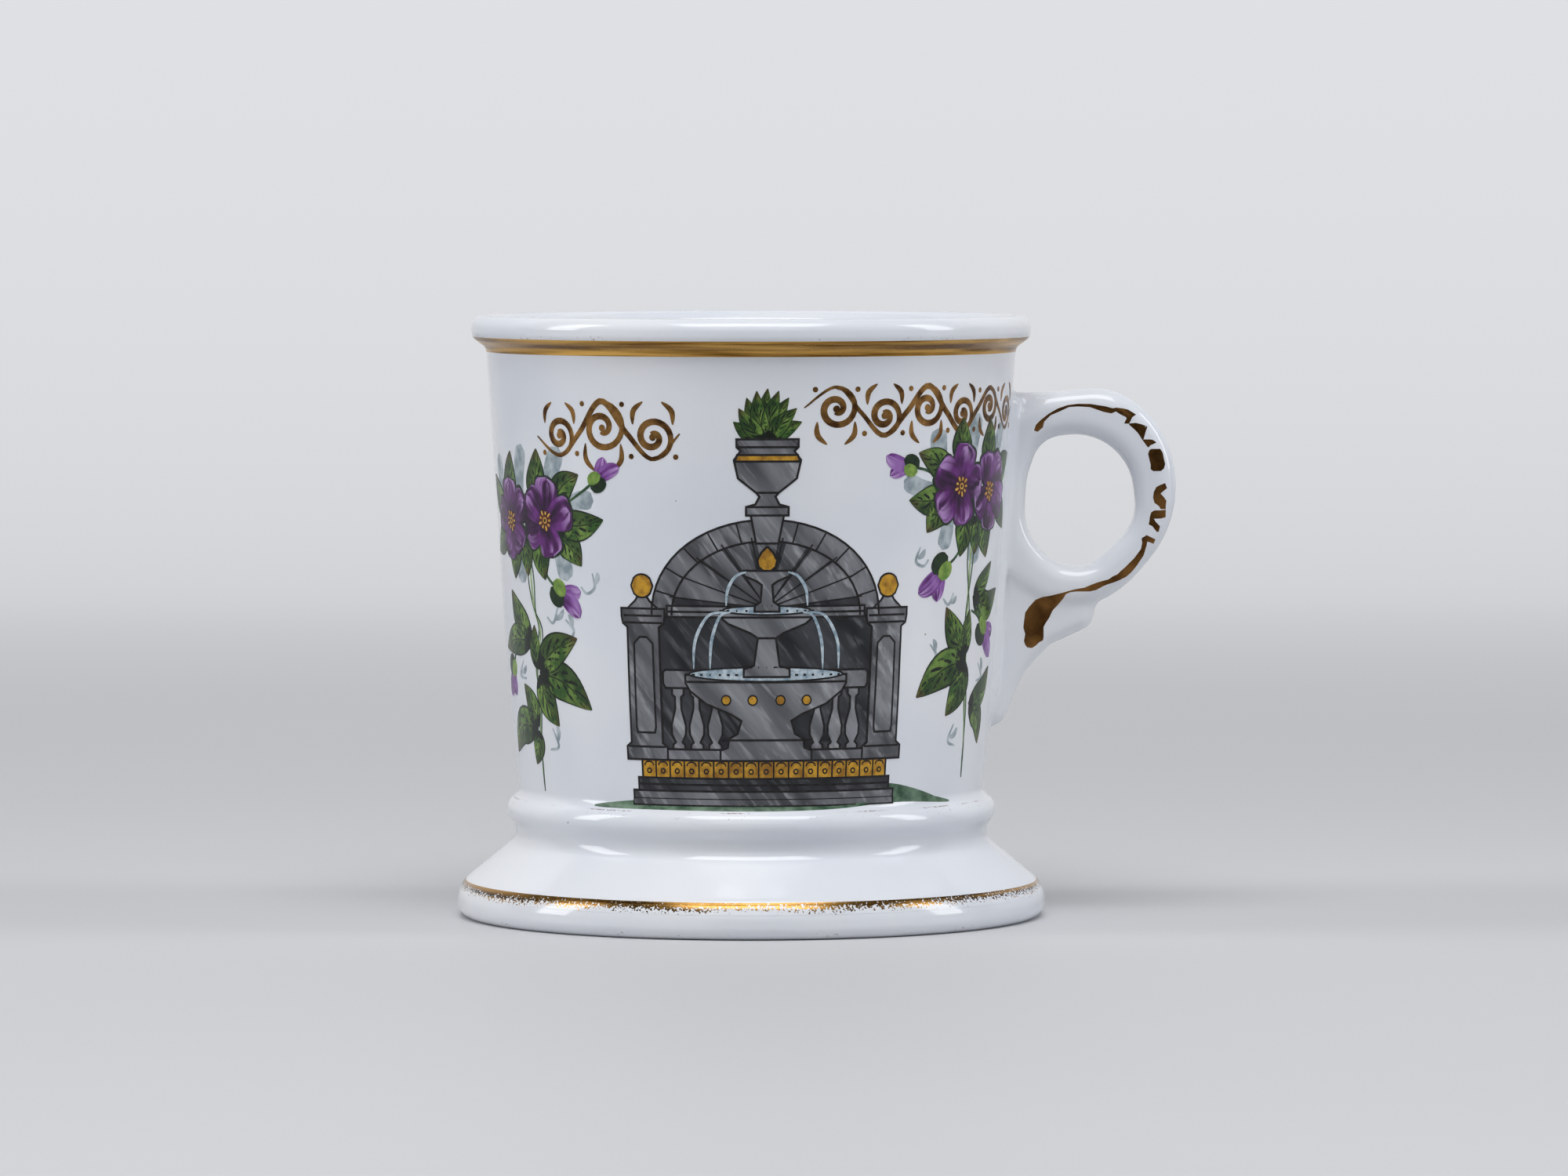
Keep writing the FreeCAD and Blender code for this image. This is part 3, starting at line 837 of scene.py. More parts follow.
    def wall_pad(self) -> bpy.types.Object:
        """A piece of the wall under the root, for the handle to flow into.

        Returns:
            The pad, a hair under the glaze.
        """
        low, high = self.tip - 3.0, self.top + 3.5
        levels = [low + (high - low) * i / self.pad_rows for i in range(self.pad_rows + 1)]
        outline = [(self.body.surface(z)[0] - 0.02, z) for z in levels]
        inner = [(r - self.pad_thickness, z) for r, z in reversed(outline)]
        pad = spin_profile("wall_pad", outline + inner, closed_at_axis=False)
        activate(pad)
        bpy.ops.object.mode_set(mode="EDIT")
        for side in (-1, 1):
            bpy.ops.mesh.select_all(action="SELECT")
            normal = (-math.sin(self.pad_reach), side * math.cos(self.pad_reach), 0.0)
            bpy.ops.mesh.bisect(plane_co=(0, 0, 0), plane_no=normal, use_fill=True, clear_outer=True)
        close_up()
        return pad

    def build(self, china: bpy.types.Material) -> bpy.types.Object:
        """Cast the handle in one: join its plates, melt them together and let the joints soften.

        Args:
            china: the glazed china.

        Returns:
            The handle.
        """
        ring = self.plate("ring", self.ring(), self.ring_thickness)
        self.pierce(ring)
        self.round_edges(ring, self.ring_round)
        plates = [ring]
        for name, corners in (("web", self.web()), ("tail", self.tail())):
            plates.append(self.plate(name, corners, self.web_thickness))
            self.round_edges(plates[-1], self.web_round)
            self.pierce(plates[-1], self.hole_margin)
        plates.append(self.plate("root", self.root(), self.root_thickness))
        self.round_edges(plates[-1], self.root_round)
        handle = join([*plates, self.wall_pad()], "mug_handle")
        finish_modifier(handle, "REMESH", mode="VOXEL", voxel_size=self.voxel * MM)
        finish_modifier(handle, "SMOOTH", factor=0.5, iterations=self.soften)
        cover(handle, china)
        return handle


# Brushwork


def smooth_path(points: Sequence[Point], spacing: float) -> list[Point]:
    """An evenly spaced Catmull-Rom curve through points.

    Args:
        points: the points that the brush passes.
        spacing: distance between the samples.

    Returns:
        The samples, ends included.
    """
    ends = [points[0], *points, points[-1]]
    dense: list[Vector] = []
    for quad in zip(ends, ends[1:], ends[2:], ends[3:]):
        for k in range(16):
            t = k / 16
            dense.append(Vector([
                0.5 * (2 * b + (c - a) * t + (2 * a - 5 * b + 4 * c - d) * t * t + (3 * b - a - 3 * c + d) * t ** 3)
                for a, b, c, d in zip(*quad)]))
    dense.append(Vector(points[-1]))
    lengths = [0.0]
    for before, after in zip(dense, dense[1:]):
        lengths.append(lengths[-1] + (after - before).length)
    count = max(3, math.ceil(lengths[-1] / spacing))
    samples, index = [], 0
    for k in range(count + 1):
        goal = lengths[-1] * k / count
        while index < len(lengths) - 2 and lengths[index + 1] < goal:
            index += 1
        span = lengths[index + 1] - lengths[index]
        share = (goal - lengths[index]) / span if span else 0.0
        samples.append(tuple(dense[index].lerp(dense[index + 1], share)))
    return samples


def fine_path(points: Sequence[Point], spacing: float) -> list[Point]:
    """Straight runs between points, cut into short pieces.

    Args:
        points: the corners of the path.
        spacing: the longest piece.

    Returns:
        The points, with those between them.
    """
    path = [tuple(points[0])]
    for before, after in zip(points, points[1:]):
        a, b = Vector(before), Vector(after)
        pieces = max(1, math.ceil((b - a).length / spacing))
        path += [tuple(a.lerp(b, k / pieces)) for k in range(1, pieces + 1)]
    return path


def bow(start: Point, end: Point, sag: float) -> list[Point]:
    """A gently bent run between two points, sagging to its left by a share of its length."""
    a, b = Vector(start), Vector(end)
    return smooth_path([start, a.lerp(b, 0.5) + (b - a).orthogonal() * sag, end], max(0.5, (b - a).length / 12))


def spiral(centre: Point, start: Point, turns: float, shrink: float = 0.14) -> list[Point]:
    """A scroll that winds in about its centre.

    Args:
        centre: the eye of the scroll.
        start: its outer end.
        turns: how often it winds, below 0 for clockwise.
        shrink: its last radius as a share of its first.

    Returns:
        The points from its outer end inwards.
    """
    arm = Vector(start) - Vector(centre)
    radius, angle = arm.length, math.atan2(arm.y, arm.x)
    count = max(8, int(abs(turns) * 26))
    points = []
    for t in (k / count for k in range(count + 1)):
        r, a = radius * (1 - (1 - shrink) * t), angle + turns * TURN * t
        points.append((centre[0] + r * math.cos(a), centre[1] + r * math.sin(a)))
    return points


def turned_sides(path: Sequence[Point]) -> list[Vector]:
    """Sideways directions along a path.

    Args:
        path: the points of the path.

    Returns:
        A left-hand normal for each, lengthened at sharp corners so that a stroke keeps its width.
    """
    runs = [Vector(b) - Vector(a) for a, b in zip(path, path[1:])]
    normals = []
    for i in range(len(path)):
        sides = [run.orthogonal().normalized() for run in runs[max(0, i - 1):i + 1] if run.length > 1e-9]
        middle = sum(sides, Vector((0.0, 0.0)))
        if middle.length < 1e-6:
            middle = sides[0]
        middle.normalize()
        normals.append(middle / max(0.5, middle.dot(sides[0])))
    return normals


def taper(wide: float, start: float = 0.3, end: float = 0.15) -> Callable[[float], float]:
    """Width of a stroke that swells in the middle, with its ends as shares of the widest part."""
    def width(t: float) -> float:
        ends = start + (end - start) * t
        return wide * (ends + (1 - ends) * math.sin(math.pi * t) ** 0.8)
    return width


def petal_width(wide: float, shoulder: float = 0.70) -> Callable[[float], float]:
    """Width of a petal: narrow at the heart, widest at its shoulder, round at the tip."""
    def width(t: float) -> float:
        if t < shoulder:
            return wide * (0.52 + 0.48 * math.sin(math.pi / 2 * t / shoulder) ** 1.3)
        return wide * math.sqrt(max(0.0, 1 - ((t - shoulder) / (1 - shoulder)) ** 3.2) + 0.002)
    return width


def oval_width(wide: float, blunt: float = 0.004) -> Callable[[float], float]:
    """Width of a round or oval dab, whose ends aren't quite points."""
    return lambda t: wide * math.sqrt(max(0.0, 1 - (2 * t - 1) ** 2) + blunt)


def leaf_width(wide: float) -> Callable[[float], float]:
    """Width of a leaf: full near its base and drawn out to a point."""
    return lambda t: wide * (0.04 + 0.96 * math.sin(math.pi * t ** 0.78) ** 0.9)


@dataclass
class Brush:
    """Lays strokes on the glaze as thin closed slabs, one layer over another."""

    place: Placer
    base_lift: float = 0.02
    layer_step: float = 0.010
    slab: float = 0.17
    mirrored: bool = False
    blanks: dict = field(default_factory=dict)
    strokes: dict = field(default_factory=dict)

    def blank(self, along: int, across: int) -> bpy.types.Mesh:
        """A flat grid to bend strokes from, made once for each number of faces.

        Args:
            along: faces along the stroke.
            across: faces across it.

        Returns:
            The grid's mesh, which is copied for each stroke.
        """
        key = (along, across)
        if key not in self.blanks:
            deselect()
            bpy.ops.mesh.primitive_grid_add(x_subdivisions=along, y_subdivisions=across, size=2.0)
            grid = bpy.context.object
            self.blanks[key] = grid.data.copy()
            bpy.data.objects.remove(grid)
        return self.blanks[key]

    def lay(self, paint: Enum, edges: Sequence[tuple[Vector, Vector]], layer: int, grain: float,
            notch: float = 0.0) -> None:
        """Lay one mark between two edges.

        Args:
            paint: what it is painted with.
            edges: for each station along the mark, its left and its right point.
            layer: how many layers lie under it.
            grain: largest face across the mark.
            notch: share of the length by which the middle of the far end is drawn in.
        """
        across = max(6 if notch else 1, math.ceil(max((left - right).length for left, right in edges) / grain))
        last = len(edges) - 1
        mesh = self.blank(last, across).copy()
        root = (edges[0][0] + edges[0][1]) / 2
        lift = (self.base_lift + layer * self.layer_step) * MM
        for vertex in mesh.vertices:
            t, s = (vertex.co.x + 1) / 2, (vertex.co.y + 1) / 2
            left, right = edges[round(t * last)]
            spot = right.lerp(left, 1 - s if self.mirrored else s)
            spot += (root - (left + right) / 2) * (notch * (1 - abs(2 * s - 1)) ** 1.5 * t ** 3)
            surface, normal = self.place(spot.x, spot.y)
            vertex.co = surface + normal * lift
        piece = bpy.data.objects.new(paint.name, mesh)
        bpy.context.scene.collection.objects.link(piece)
        self.strokes.setdefault(paint, []).append(piece)

    def stroke(self, paint: Enum, path: Sequence[Point], width: Width, layer: int = 0,
               grain: float = GRAIN, notch: float = 0.0) -> None:
        """Lay a stroke along a path.

        Args:
            paint: what it is painted with.
            path: points along the middle of the stroke.
            width: full width, or a function of the share of the length.
            layer: how many layers lie under it.
            grain: largest face across the stroke.
            notch: share of the length by which the middle of the far end is drawn in.
        """
        edges = []
        for k, (point, side) in enumerate(zip(path, turned_sides(path))):
            half = side * (width(k / (len(path) - 1)) if callable(width) else width) / 2
            edges.append((Vector(point) + half, Vector(point) - half))
        self.lay(paint, edges, layer, grain, notch)

    def mark(self, paint: Enum, rows: Sequence[tuple[float, float, float, float]], grain: float) -> None:
        """Lay a freely shaped mark.

        Args:
            paint: what it is painted with.
            rows: for each station along the mark, the point on one edge and the point on the other.
            grain: largest face of the mark.
        """
        pairs = [(Vector(row[:2]), Vector(row[2:])) for row in rows]
        edges = pairs[:1]
        turn = 0.0
        for (a0, b0), (a1, b1) in zip(pairs, pairs[1:]):
            run = (a1 + b1 - a0 - b0) / 2
            turn += run.cross(a0 - b0)
            pieces = max(1, math.ceil(run.length / grain))
            edges += [(a0.lerp(a1, k / pieces), b0.lerp(b1, k / pieces)) for k in range(1, pieces + 1)]
        if turn < 0:
            edges = [(right, left) for left, right in edges]
        self.lay(paint, edges, 0, grain)

    def line(self, paint: Enum, points: Sequence[Point], width: float, layer: int) -> None:
        """Draw a thin line through corner points."""
        self.stroke(paint, fine_path(points, GRAIN), width, layer)

    def loop(self, paint: Enum, points: Sequence[Point], width: float, layer: int) -> None:
        """Draw a closed thin line through corner points."""
        start = (Vector(points[0]) + Vector(points[-1])) / 2
        self.line(paint, [start, *points, start], width, layer)

    def dot(self, paint: Enum, centre: Point, radius: float, layer: int) -> None:
        """Dab a round spot."""
        ends = [(centre[0] - radius, centre[1]), (centre[0] + radius, centre[1])]
        self.stroke(paint, fine_path(ends, radius / 4), oval_width(2 * radius), layer)

    def finish(self, paint: Enum, name: str, finish: bpy.types.Material) -> bpy.types.Object:
        """Join a paint's strokes, and give them thickness and a finish.

        Args:
            paint: the paint whose strokes are done.
            name: the finished piece's name.
            finish: its material.

        Returns:
            The piece.
        """
        piece = join(self.strokes.pop(paint), name)
        finish_modifier(piece, "SOLIDIFY", thickness=self.slab * MM, offset=-1.0)
        cover(piece, finish, 50)
        return piece


@dataclass(frozen=True)
class FlowerSpray:
    """One painted spray: two open flowers in a tuft of leaves, buds, and a long stem with side leaves.

    A flower is its heart and the tips of its petals, and a bud is its stalk, its calyx and its tip.
    Leaves are rows of u and z of the base, u and z of the tip, width and sag, and shadows have no sag.
    """

    flowers: tuple
    tuft: tuple
    buds: tuple
    stem: tuple
    leaves: tuple
    shadows: tuple
    swirls: tuple
    petal: float = 5.5
    leaf_breadth: float = 1.15

    def paint(self, brush: Brush) -> None:
        """Lay the spray from the shadow leaves up to the flower hearts.

        Args:
            brush: the brush on the wall.
        """
        for u0, z0, u1, z1, wide in self.shadows:
            brush.stroke(Paint.SHADOW, bow((u0, z0), (u1, z1), 0.08), petal_width(wide * 0.82), 0)
        for points in self.swirls:
            self.paint_swirl(brush, points)
        self.paint_stem(brush)
        for leaves, layer in ((self.leaves, 4), (self.tuft, 5)):
            for u0, z0, u1, z1, wide, sag in leaves:
                width = leaf_width(wide * self.leaf_breadth)
                brush.stroke(Paint.LEAF, bow((u0, z0), (u1, z1), sag), width, layer)
        for bud in self.buds:
            self.paint_bud(brush, *bud)
        for centre, tips in self.flowers:
            self.paint_flower(brush, centre, tips)

    def paint_swirl(self, brush: Brush, points: Sequence[Point]) -> None:
        """A thin grey loop drawn with the tip of the brush, and the dab that it ends in.

        Args:
            brush: the brush on the wall.
            points: the loop, from the end with the dab.
        """
        brush.stroke(Paint.SHADOW, smooth_path(points, 0.35), taper(0.5, 0.3, 0.6), 1, FINEST)
        start, towards = Vector(points[0]), Vector(points[1])
        aside = (towards - start).orthogonal() * 0.45
        dab = bow(start + aside, start.lerp(towards, 0.75) + aside * 0.2, 0.15)
        brush.stroke(Paint.SHADOW, dab, taper(0.95, 0.2, 0.5), 1, FINEST)

    def paint_stem(self, brush: Brush) -> None:
        """Thin lines that cross and part again down to the tip, with pale green between them.

        Args:
            brush: the brush on the wall.
        """
        path = smooth_path(self.stem, 0.9)
        last = len(path) - 1
        for paint, wide, waves, shift, width, layer in (
                (Paint.STEM_LIGHT, 0.15, 2.6, 0.9, lambda t: 0.42 * (1 - t) ** 0.6 + 0.10, 2),
                (Paint.STEM, 1.05, 3.2, 0.5, lambda t: 0.28 - 0.10 * t, 3),
                (Paint.STEM, -0.85, 3.6, 0.7, lambda t: 0.26 - 0.08 * t, 3)):
            line = [Vector(point) + side * wide * math.sin(waves * math.pi * k / last + shift) * (1 - k / last) ** 0.7
                    for k, (point, side) in enumerate(zip(path, turned_sides(path)))]
            brush.stroke(paint, line, width, layer)

    def paint_bud(self, brush: Brush, stalk: Sequence[Point], calyx: Point, tip: Point) -> None:
        """A bud of a long and a short petal on a bent stalk, held by its round calyx.

        Args:
            brush: the brush on the wall.
            stalk: points of the stalk below the calyx.
            calyx: the middle of the calyx.
            tip: the tip of the long petal.
        """
        brush.stroke(Paint.STEM, smooth_path([*stalk, calyx], 0.6), lambda t: 0.36 + 0.1 * t, 4)
        root, heading = Vector(calyx), Vector(tip) - Vector(calyx)
        side = heading.orthogonal()
        start, dark, lit = root + heading * 0.05, root - side * 0.12, root + side * 0.05
        wide = min(3.6, heading.length * 0.56)
        for paint, begin, end, sag, share, layer, grain in (
                (Paint.BUD, start, root + heading * 0.64 + side * 0.50, -0.06, 0.84, 5, FINEST),
                (Paint.BUD, start, Vector(tip) - side * 0.06, 0.06, 0.90, 6, FINEST),
                (Paint.CALYX_SHADE, dark - heading * 0.30, dark + heading * 0.34, -0.10, 0.86, 7, FINE),
                (Paint.CALYX, lit - heading * 0.30, lit + heading * 0.26, 0.08, 0.72, 8, FINE)):
            brush.stroke(paint, bow(begin, end, sag), oval_width(wide * share), layer, grain)

    def paint_flower(self, brush: Brush, centre: Point, tips: Sequence[Point]) -> None:
        """Broad notched petals that overlap, a dark ground round them, and an ochre heart with dark stamens.

        Args:
            brush: the brush on the wall.
            centre: the heart of the flower.
            tips: the tip of each petal.
        """
        middle = Vector(centre)
        for index, tip in enumerate(tips):
            reach = Vector(tip) - middle
            start = middle + reach * 0.04
            wide = self.petal * (0.60 + 0.40 * reach.length / 6.5)
            ground = bow(start, middle + reach * 1.045, 0.03)
            brush.stroke(Paint.CALYX_SHADE, ground, petal_width(wide + 0.6), 6, 0.9, 0.12)
            brush.stroke(Paint.PETAL, bow(start, tip, 0.03 - 0.02 * (index % 3)), petal_width(wide),
                         7 + index % 3, FINE, 0.15 + 0.04 * (index % 2))
        brush.dot(Paint.DARK_HEART, centre, 1.25, 10)
        for k in range(9):
            for paint, shift, near, far, width, layer in (
                    (Paint.HEART, 0.0, 0.85, 1.40 + 0.25 * (k % 2), taper(0.38, 0.6, 0.9), 11),
                    (Paint.DARK_HEART, 0.35, 1.0, 1.6, taper(0.34, 0.6, 0.4), 12)):
                angle = TURN * k / 9 + shift
                spoke = Vector((math.cos(angle), math.sin(angle)))
                brush.stroke(paint, bow(middle + spoke * near, middle + spoke * far, 0.0), width, layer)
        brush.dot(Paint.HEART, centre, 0.52, 12)
        brush.dot(Paint.INK, centre, 0.26, 13)


@dataclass
class Scrollwork:
    """Gold scrolls that run to both sides of the painted scene, under the gold band."""

    brush: Brush
    line: float = 0.95

    def paint(self) -> None:
        """Draw the left and the right run."""
        self.run(-36.0, -10.5, 77.4, (3.6, 4.8, 3.9), 0)
        self.run(9.0, 56.0, 80.6, (3.9, 3.5, 3.9, 3.3, 3.3, 3.1), 1)

    def stroke(self, path: Sequence[Point], wide: float, start: float, end: float) -> None:
        """A gold stroke, with its widest part and its ends as shares of the line."""
        self.brush.stroke(Paint.GOLD_SCROLLS, path, taper(self.line * wide, start, end), 1, FINE)

    def run(self, left: float, right: float, level: float, sizes: Sequence[float], first: int) -> None:
        """A waving stem with a spiral in each bend, leaves and dots.

        Args:
            left: where the run starts.
            right: where it ends.
            level: height of its middle.
            sizes: radius of each spiral, one for each bend.
            first: 0 if the first spiral hangs, 1 if it stands.
        """
        pitch = (right - left) / len(sizes)
        bends = [(left - 1.0, level + (0.8 if first else -0.8))]
        for k, size in enumerate(sizes):
            middle = left + pitch * (k + 0.5)
            up = 1 if (k + first) % 2 else -1
            bends += [(middle, level + up * size * 1.02), (left + pitch * (k + 1), level)]
            eye = (middle, level + up * 0.15 * size)
            self.stroke(spiral(eye, (middle, level + up * size), -up * 1.55), 1.1, 0.6, 0.75)
            self.brush.dot(Paint.GOLD_SCROLLS, eye, 0.55, 2)
            for side in (-1, 1):
                foot = (middle + side * 0.375 * pitch, level - up * size * 0.35)
                tip = (middle + side * 0.175 * pitch, level - up * size * 1.25)
                self.stroke(bow(foot, tip, 0.20 * side * up), 0.9, 0.2, 0.2)
                spot = (middle + side * pitch * 0.42, level + up * size * 0.92)
                self.brush.dot(Paint.GOLD_SCROLLS, spot, 0.42, 1)
        self.stroke(smooth_path(bends, 0.7), 1.0, 0.25, 0.25)


@dataclass
class GardenScene:
    """A painted wall fountain of grey marble: a shell-headed niche between pillars, on a strip of lawn."""

    brush: Brush
    middle: float = 2.6
    ground: float = 20.2
    ink: float = 0.34
    thin_ink: float = 0.26
    arch_reach: float = 16.6
    arch_rise: float = 13.2
    arch_base: float = 49.4
    arch_half: float = 1.65

    def paint(self) -> None:
        """Paint the scene from the back to the front."""
        self.lawn()
        self.steps()
        self.niche()
        self.balustrade()
        self.gateway()
        self.fountain()
        self.urn()

    def turned(self, paint: Paint, profile: Sequence[Point], layer: int, off: float = 0.0) -> None:
        """A form that is symmetrical about an upright line, with a dark outline.

        Args:
            paint: its fill.
            profile: (height, half width) from the bottom up.
            layer: layer of its fill; the outline lies one above.
            off: distance of its middle from the scene's middle.
        """
        axis = self.middle + off
        rows = []
        for (z0, w0), (z1, w1) in zip(profile, profile[1:]):
            pieces = max(1, math.ceil((z1 - z0) / 1.5))
            rows += [(z0 + (z1 - z0) * k / pieces, w0 + (w1 - w0) * k / pieces) for k in range(pieces)]
        rows.append(profile[-1])
        widths = [2 * half for _, half in rows]
        self.brush.stroke(paint, [(axis, z) for z, _ in rows], lambda t: widths[round(t * (len(rows) - 1))], layer)
        border = [(axis + w, z) for z, w in profile] + [(axis - w, z) for z, w in reversed(profile)]
        self.brush.loop(Paint.INK, border, self.ink, layer + 1)

    def rule(self, half: float, z: float, layer: int, off: float = 0.0) -> None:
        """A level dark line, as long to the left as to the right."""
        axis = self.middle + off
        self.brush.line(Paint.INK, [(axis - half, z), (axis + half, z)], self.ink, layer)

    def gold_ball(self, off: float, z: float, radius: float, rim: float, layer: int) -> None:
        """A yellow ball with a dark rim."""
        self.brush.dot(Paint.INK, (self.middle + off, z), radius + rim, layer)
        self.brush.dot(Paint.YELLOW, (self.middle + off, z), radius, layer + 1)

    def on_arch(self, turn: float, reach: float, rise: float, base: float) -> Point:
        """A point of an upright oval about the middle, turned up from its right end by degrees."""
        angle = math.radians(turn)
        return self.middle + reach * math.cos(angle), base + rise * math.sin(angle)

    def lawn(self) -> None:
        """The strip of grass that the scene stands on, thinning out to both sides."""
        strip = smooth_path([
            (-28.0, 19.5), (-12.0, self.ground), (12.0, self.ground + 0.3), (26.0, self.ground + 0.7),
            (39.0, 19.6)], 1.2)
        self.brush.stroke(Paint.GROUND, strip, lambda t: 0.25 + 2.2 * math.sin(math.pi * t) ** 0.7, 0, FINE)
        mound = smooth_path([(18.0, 21.4), (24.0, 21.7), (29.0, 21.2), (36.5, 19.9)], 1.0)
        self.brush.stroke(Paint.GROUND, mound, lambda t: 0.2 + 3.4 * (1 - t) ** 0.7, 0, FINE)

    def steps(self) -> None:
        """Two broad steps and a plinth edged with a gold frieze."""
        for paint, low, high, half in (
                (Paint.STONE, 20.0, 22.2, 22.6), (Paint.STONE_SHADE, 22.2, 24.2, 21.6),
                (Paint.YELLOW, 24.2, 27.0, 20.8)):
            self.turned(paint, [(low, half), (high, half)], 1)
        panels, frieze = 17, 41.6
        for k in range(panels + 1):
            left = self.middle - frieze / 2 + frieze * k / panels
            self.brush.line(Paint.INK, [(left, 24.2), (left, 27.0)], self.thin_ink, 3)
            if k < panels:
                spot = left + 1.22
                self.gold_ball(spot - self.middle, 25.3, 0.22, 0.24, 3)
                for side in (-1, 1):
                    self.brush.stroke(Paint.INK, bow((spot, 26.7), (spot + side * 0.8, 26.1), 0.25 * side), 0.22, 3)
        self.rule(22.6, 20.9, 3)
        self.rule(21.6, 23.2, 3)

    def niche(self) -> None:
        """The hollow behind the fountain, its head ribbed like a shell."""
        head = [(self.arch_base + 12.3 * math.sin(math.radians(9 * k)), 15.6 * math.cos(math.radians(9 * k)) + 0.15)
                for k in range(11)]
        self.turned(Paint.STONE_SHADE, [(27.0, 17.3), (self.arch_base, 17.3)], 0)
        self.turned(Paint.STONE_SHADE, head, 0)
        for paint, first, count, width, layer in (
                (Paint.STONE, 18, 9, lambda t: 0.3 + 3.1 * t, 1), (Paint.INK, 9, 10, 0.24, 3)):
            for turn in (first + 18 * k for k in range(count)):
                rib = bow(self.on_arch(turn, 1.6, 1.2, 50.6), self.on_arch(turn, 15.4, 11.0, 50.6), 0.0)
                self.brush.stroke(paint, rib, width, layer)
        self.turned(Paint.STONE_LIGHT, [(49.2, 15.7), (50.9, 15.7)], 4)
        self.rule(15.7, 50.0, 6)

    def balustrade(self) -> None:
        """Balusters with a rail on both sides of the fountain."""
        self.turned(Paint.STONE, [(27.0, 16.2), (28.7, 16.2)], 3)
        for off in (-14.2, -11.2, -8.2, 8.2, 11.2, 14.2):
            self.turned(Paint.STONE_LIGHT, [
                (28.7, 1.0), (29.4, 1.0), (29.8, 0.55), (31.0, 1.15), (32.4, 1.2), (35.0, 0.5), (36.8, 0.5),
                (37.2, 0.95), (38.2, 0.95)], 3, off)
        self.turned(Paint.STONE, [(38.2, 16.2), (38.9, 16.6), (40.6, 16.6), (41.0, 16.2)], 4)

    def gateway(self) -> None:
        """Two panelled pillars and the arch that springs from them."""
        for off in (-19.8, 19.8):
            self.turned(Paint.STONE, [
                (27.0, 3.6), (29.0, 3.6), (29.6, 2.8), (47.5, 2.7), (48.1, 3.5), (49.2, 3.7), (50.4, 3.7)], 4, off)
            self.turned(Paint.STONE_LIGHT, [(31.2, 1.5), (32.0, 1.7), (45.0, 1.6), (46.0, 0.6)], 5, off)
            self.turned(Paint.STONE_LIGHT, [(50.4, 2.6), (51.6, 1.2), (52.2, 0.8)], 4, off)
            self.gold_ball(off, 53.9, 1.65, 0.30, 5)
            for z in (29.0, 48.2, 49.3):
                self.rule(3.3, z, 6, off)
        for grow, paint, width, layer in ((0.0, Paint.STONE, 2 * self.arch_half, 2),
                                          (self.arch_half, Paint.INK, self.ink, 4),
                                          (-self.arch_half, Paint.INK, self.ink, 4)):
            arch = [self.on_arch(180 - 6 * k, self.arch_reach + grow, self.arch_rise + grow, self.arch_base)
                    for k in range(31)]
            self.brush.stroke(paint, arch, width, layer)
        for turn in range(15, 180, 15):
            joint = [self.on_arch(turn, self.arch_reach + grow, self.arch_rise + grow, self.arch_base)
                     for grow in (-self.arch_half, self.arch_half)]
            self.brush.line(Paint.INK, joint, self.thin_ink, 4)
        self.turned(Paint.STONE_LIGHT, [(60.6, 1.7), (64.9, 2.5)], 5)

    def fountain(self) -> None:
        """A fountain of three bowls with gold rings, and water falling from bowl to bowl."""
        self.turned(Paint.STONE_LIGHT, [
            (27.0, 7.4), (28.6, 7.4), (29.0, 6.2), (30.4, 6.0), (31.2, 4.6), (33.2, 4.0), (34.2, 5.6),
            (35.8, 9.6), (37.8, 12.2), (39.0, 12.9), (40.3, 12.9)], 6)
        self.pool(40.4, 12.3, 1.1, 7)
        self.turned(Paint.STONE_LIGHT, [
            (40.0, 3.6), (41.2, 3.6), (41.8, 2.0), (46.0, 1.4), (46.8, 2.6), (48.2, 6.0), (49.2, 7.2),
            (50.2, 7.2)], 8)
        self.pool(50.3, 6.8, 0.7, 9)
        self.turned(Paint.STONE_LIGHT, [
            (50.1, 1.9), (51.0, 1.9), (51.6, 1.0), (54.2, 0.8), (54.8, 1.6), (55.6, 3.5), (56.4, 3.6)], 10)
        self.turned(Paint.YELLOW, [(56.4, 0.6), (57.0, 1.3), (58.0, 1.5), (59.2, 0.9), (60.0, 0.15)], 12)
        for z, half in ((30.2, 7.4), (39.2, 12.7), (49.2, 7.0), (46.0, 1.4)):
            self.rule(half, z, 10)
        for off in (-6.4, -2.2, 2.2, 6.4):
            self.gold_ball(off, 36.4, 0.62, 0.23, 11)
        for side in (-1, 1):
            for reach, top, end, low in ((3.2, 56.2, 6.0, 51.0), (6.6, 50.0, 11.2, 41.2), (5.6, 50.0, 8.6, 41.2)):
                fall = [(self.middle + side * off, z) for off, z in (
                    (reach, top), (reach + (end - reach) * 0.55, top - 0.6), (end, (top + low) / 2),
                    (end + 0.3, low))]
                self.brush.stroke(Paint.WATER, smooth_path(fall, 0.8), taper(0.5, 0.5, 0.3), 13)

    def pool(self, z: float, half: float, tall: float, layer: int) -> None:
        """A level pool seen a little from above.

        Args:
            z: height of its middle.
            half: half its width.
            tall: half its height in the painting.
            layer: layer of the water; its rim lies one above.
        """
        path = fine_path([(self.middle - half, z), (self.middle + half, z)], 1.2)
        self.brush.stroke(Paint.WATER, path, oval_width(2 * tall, 0.01), layer)
        rim = [self.on_arch(12 * k, half, tall, z) for k in range(30)]
        self.brush.loop(Paint.INK, rim, self.ink * 0.8, layer + 1)

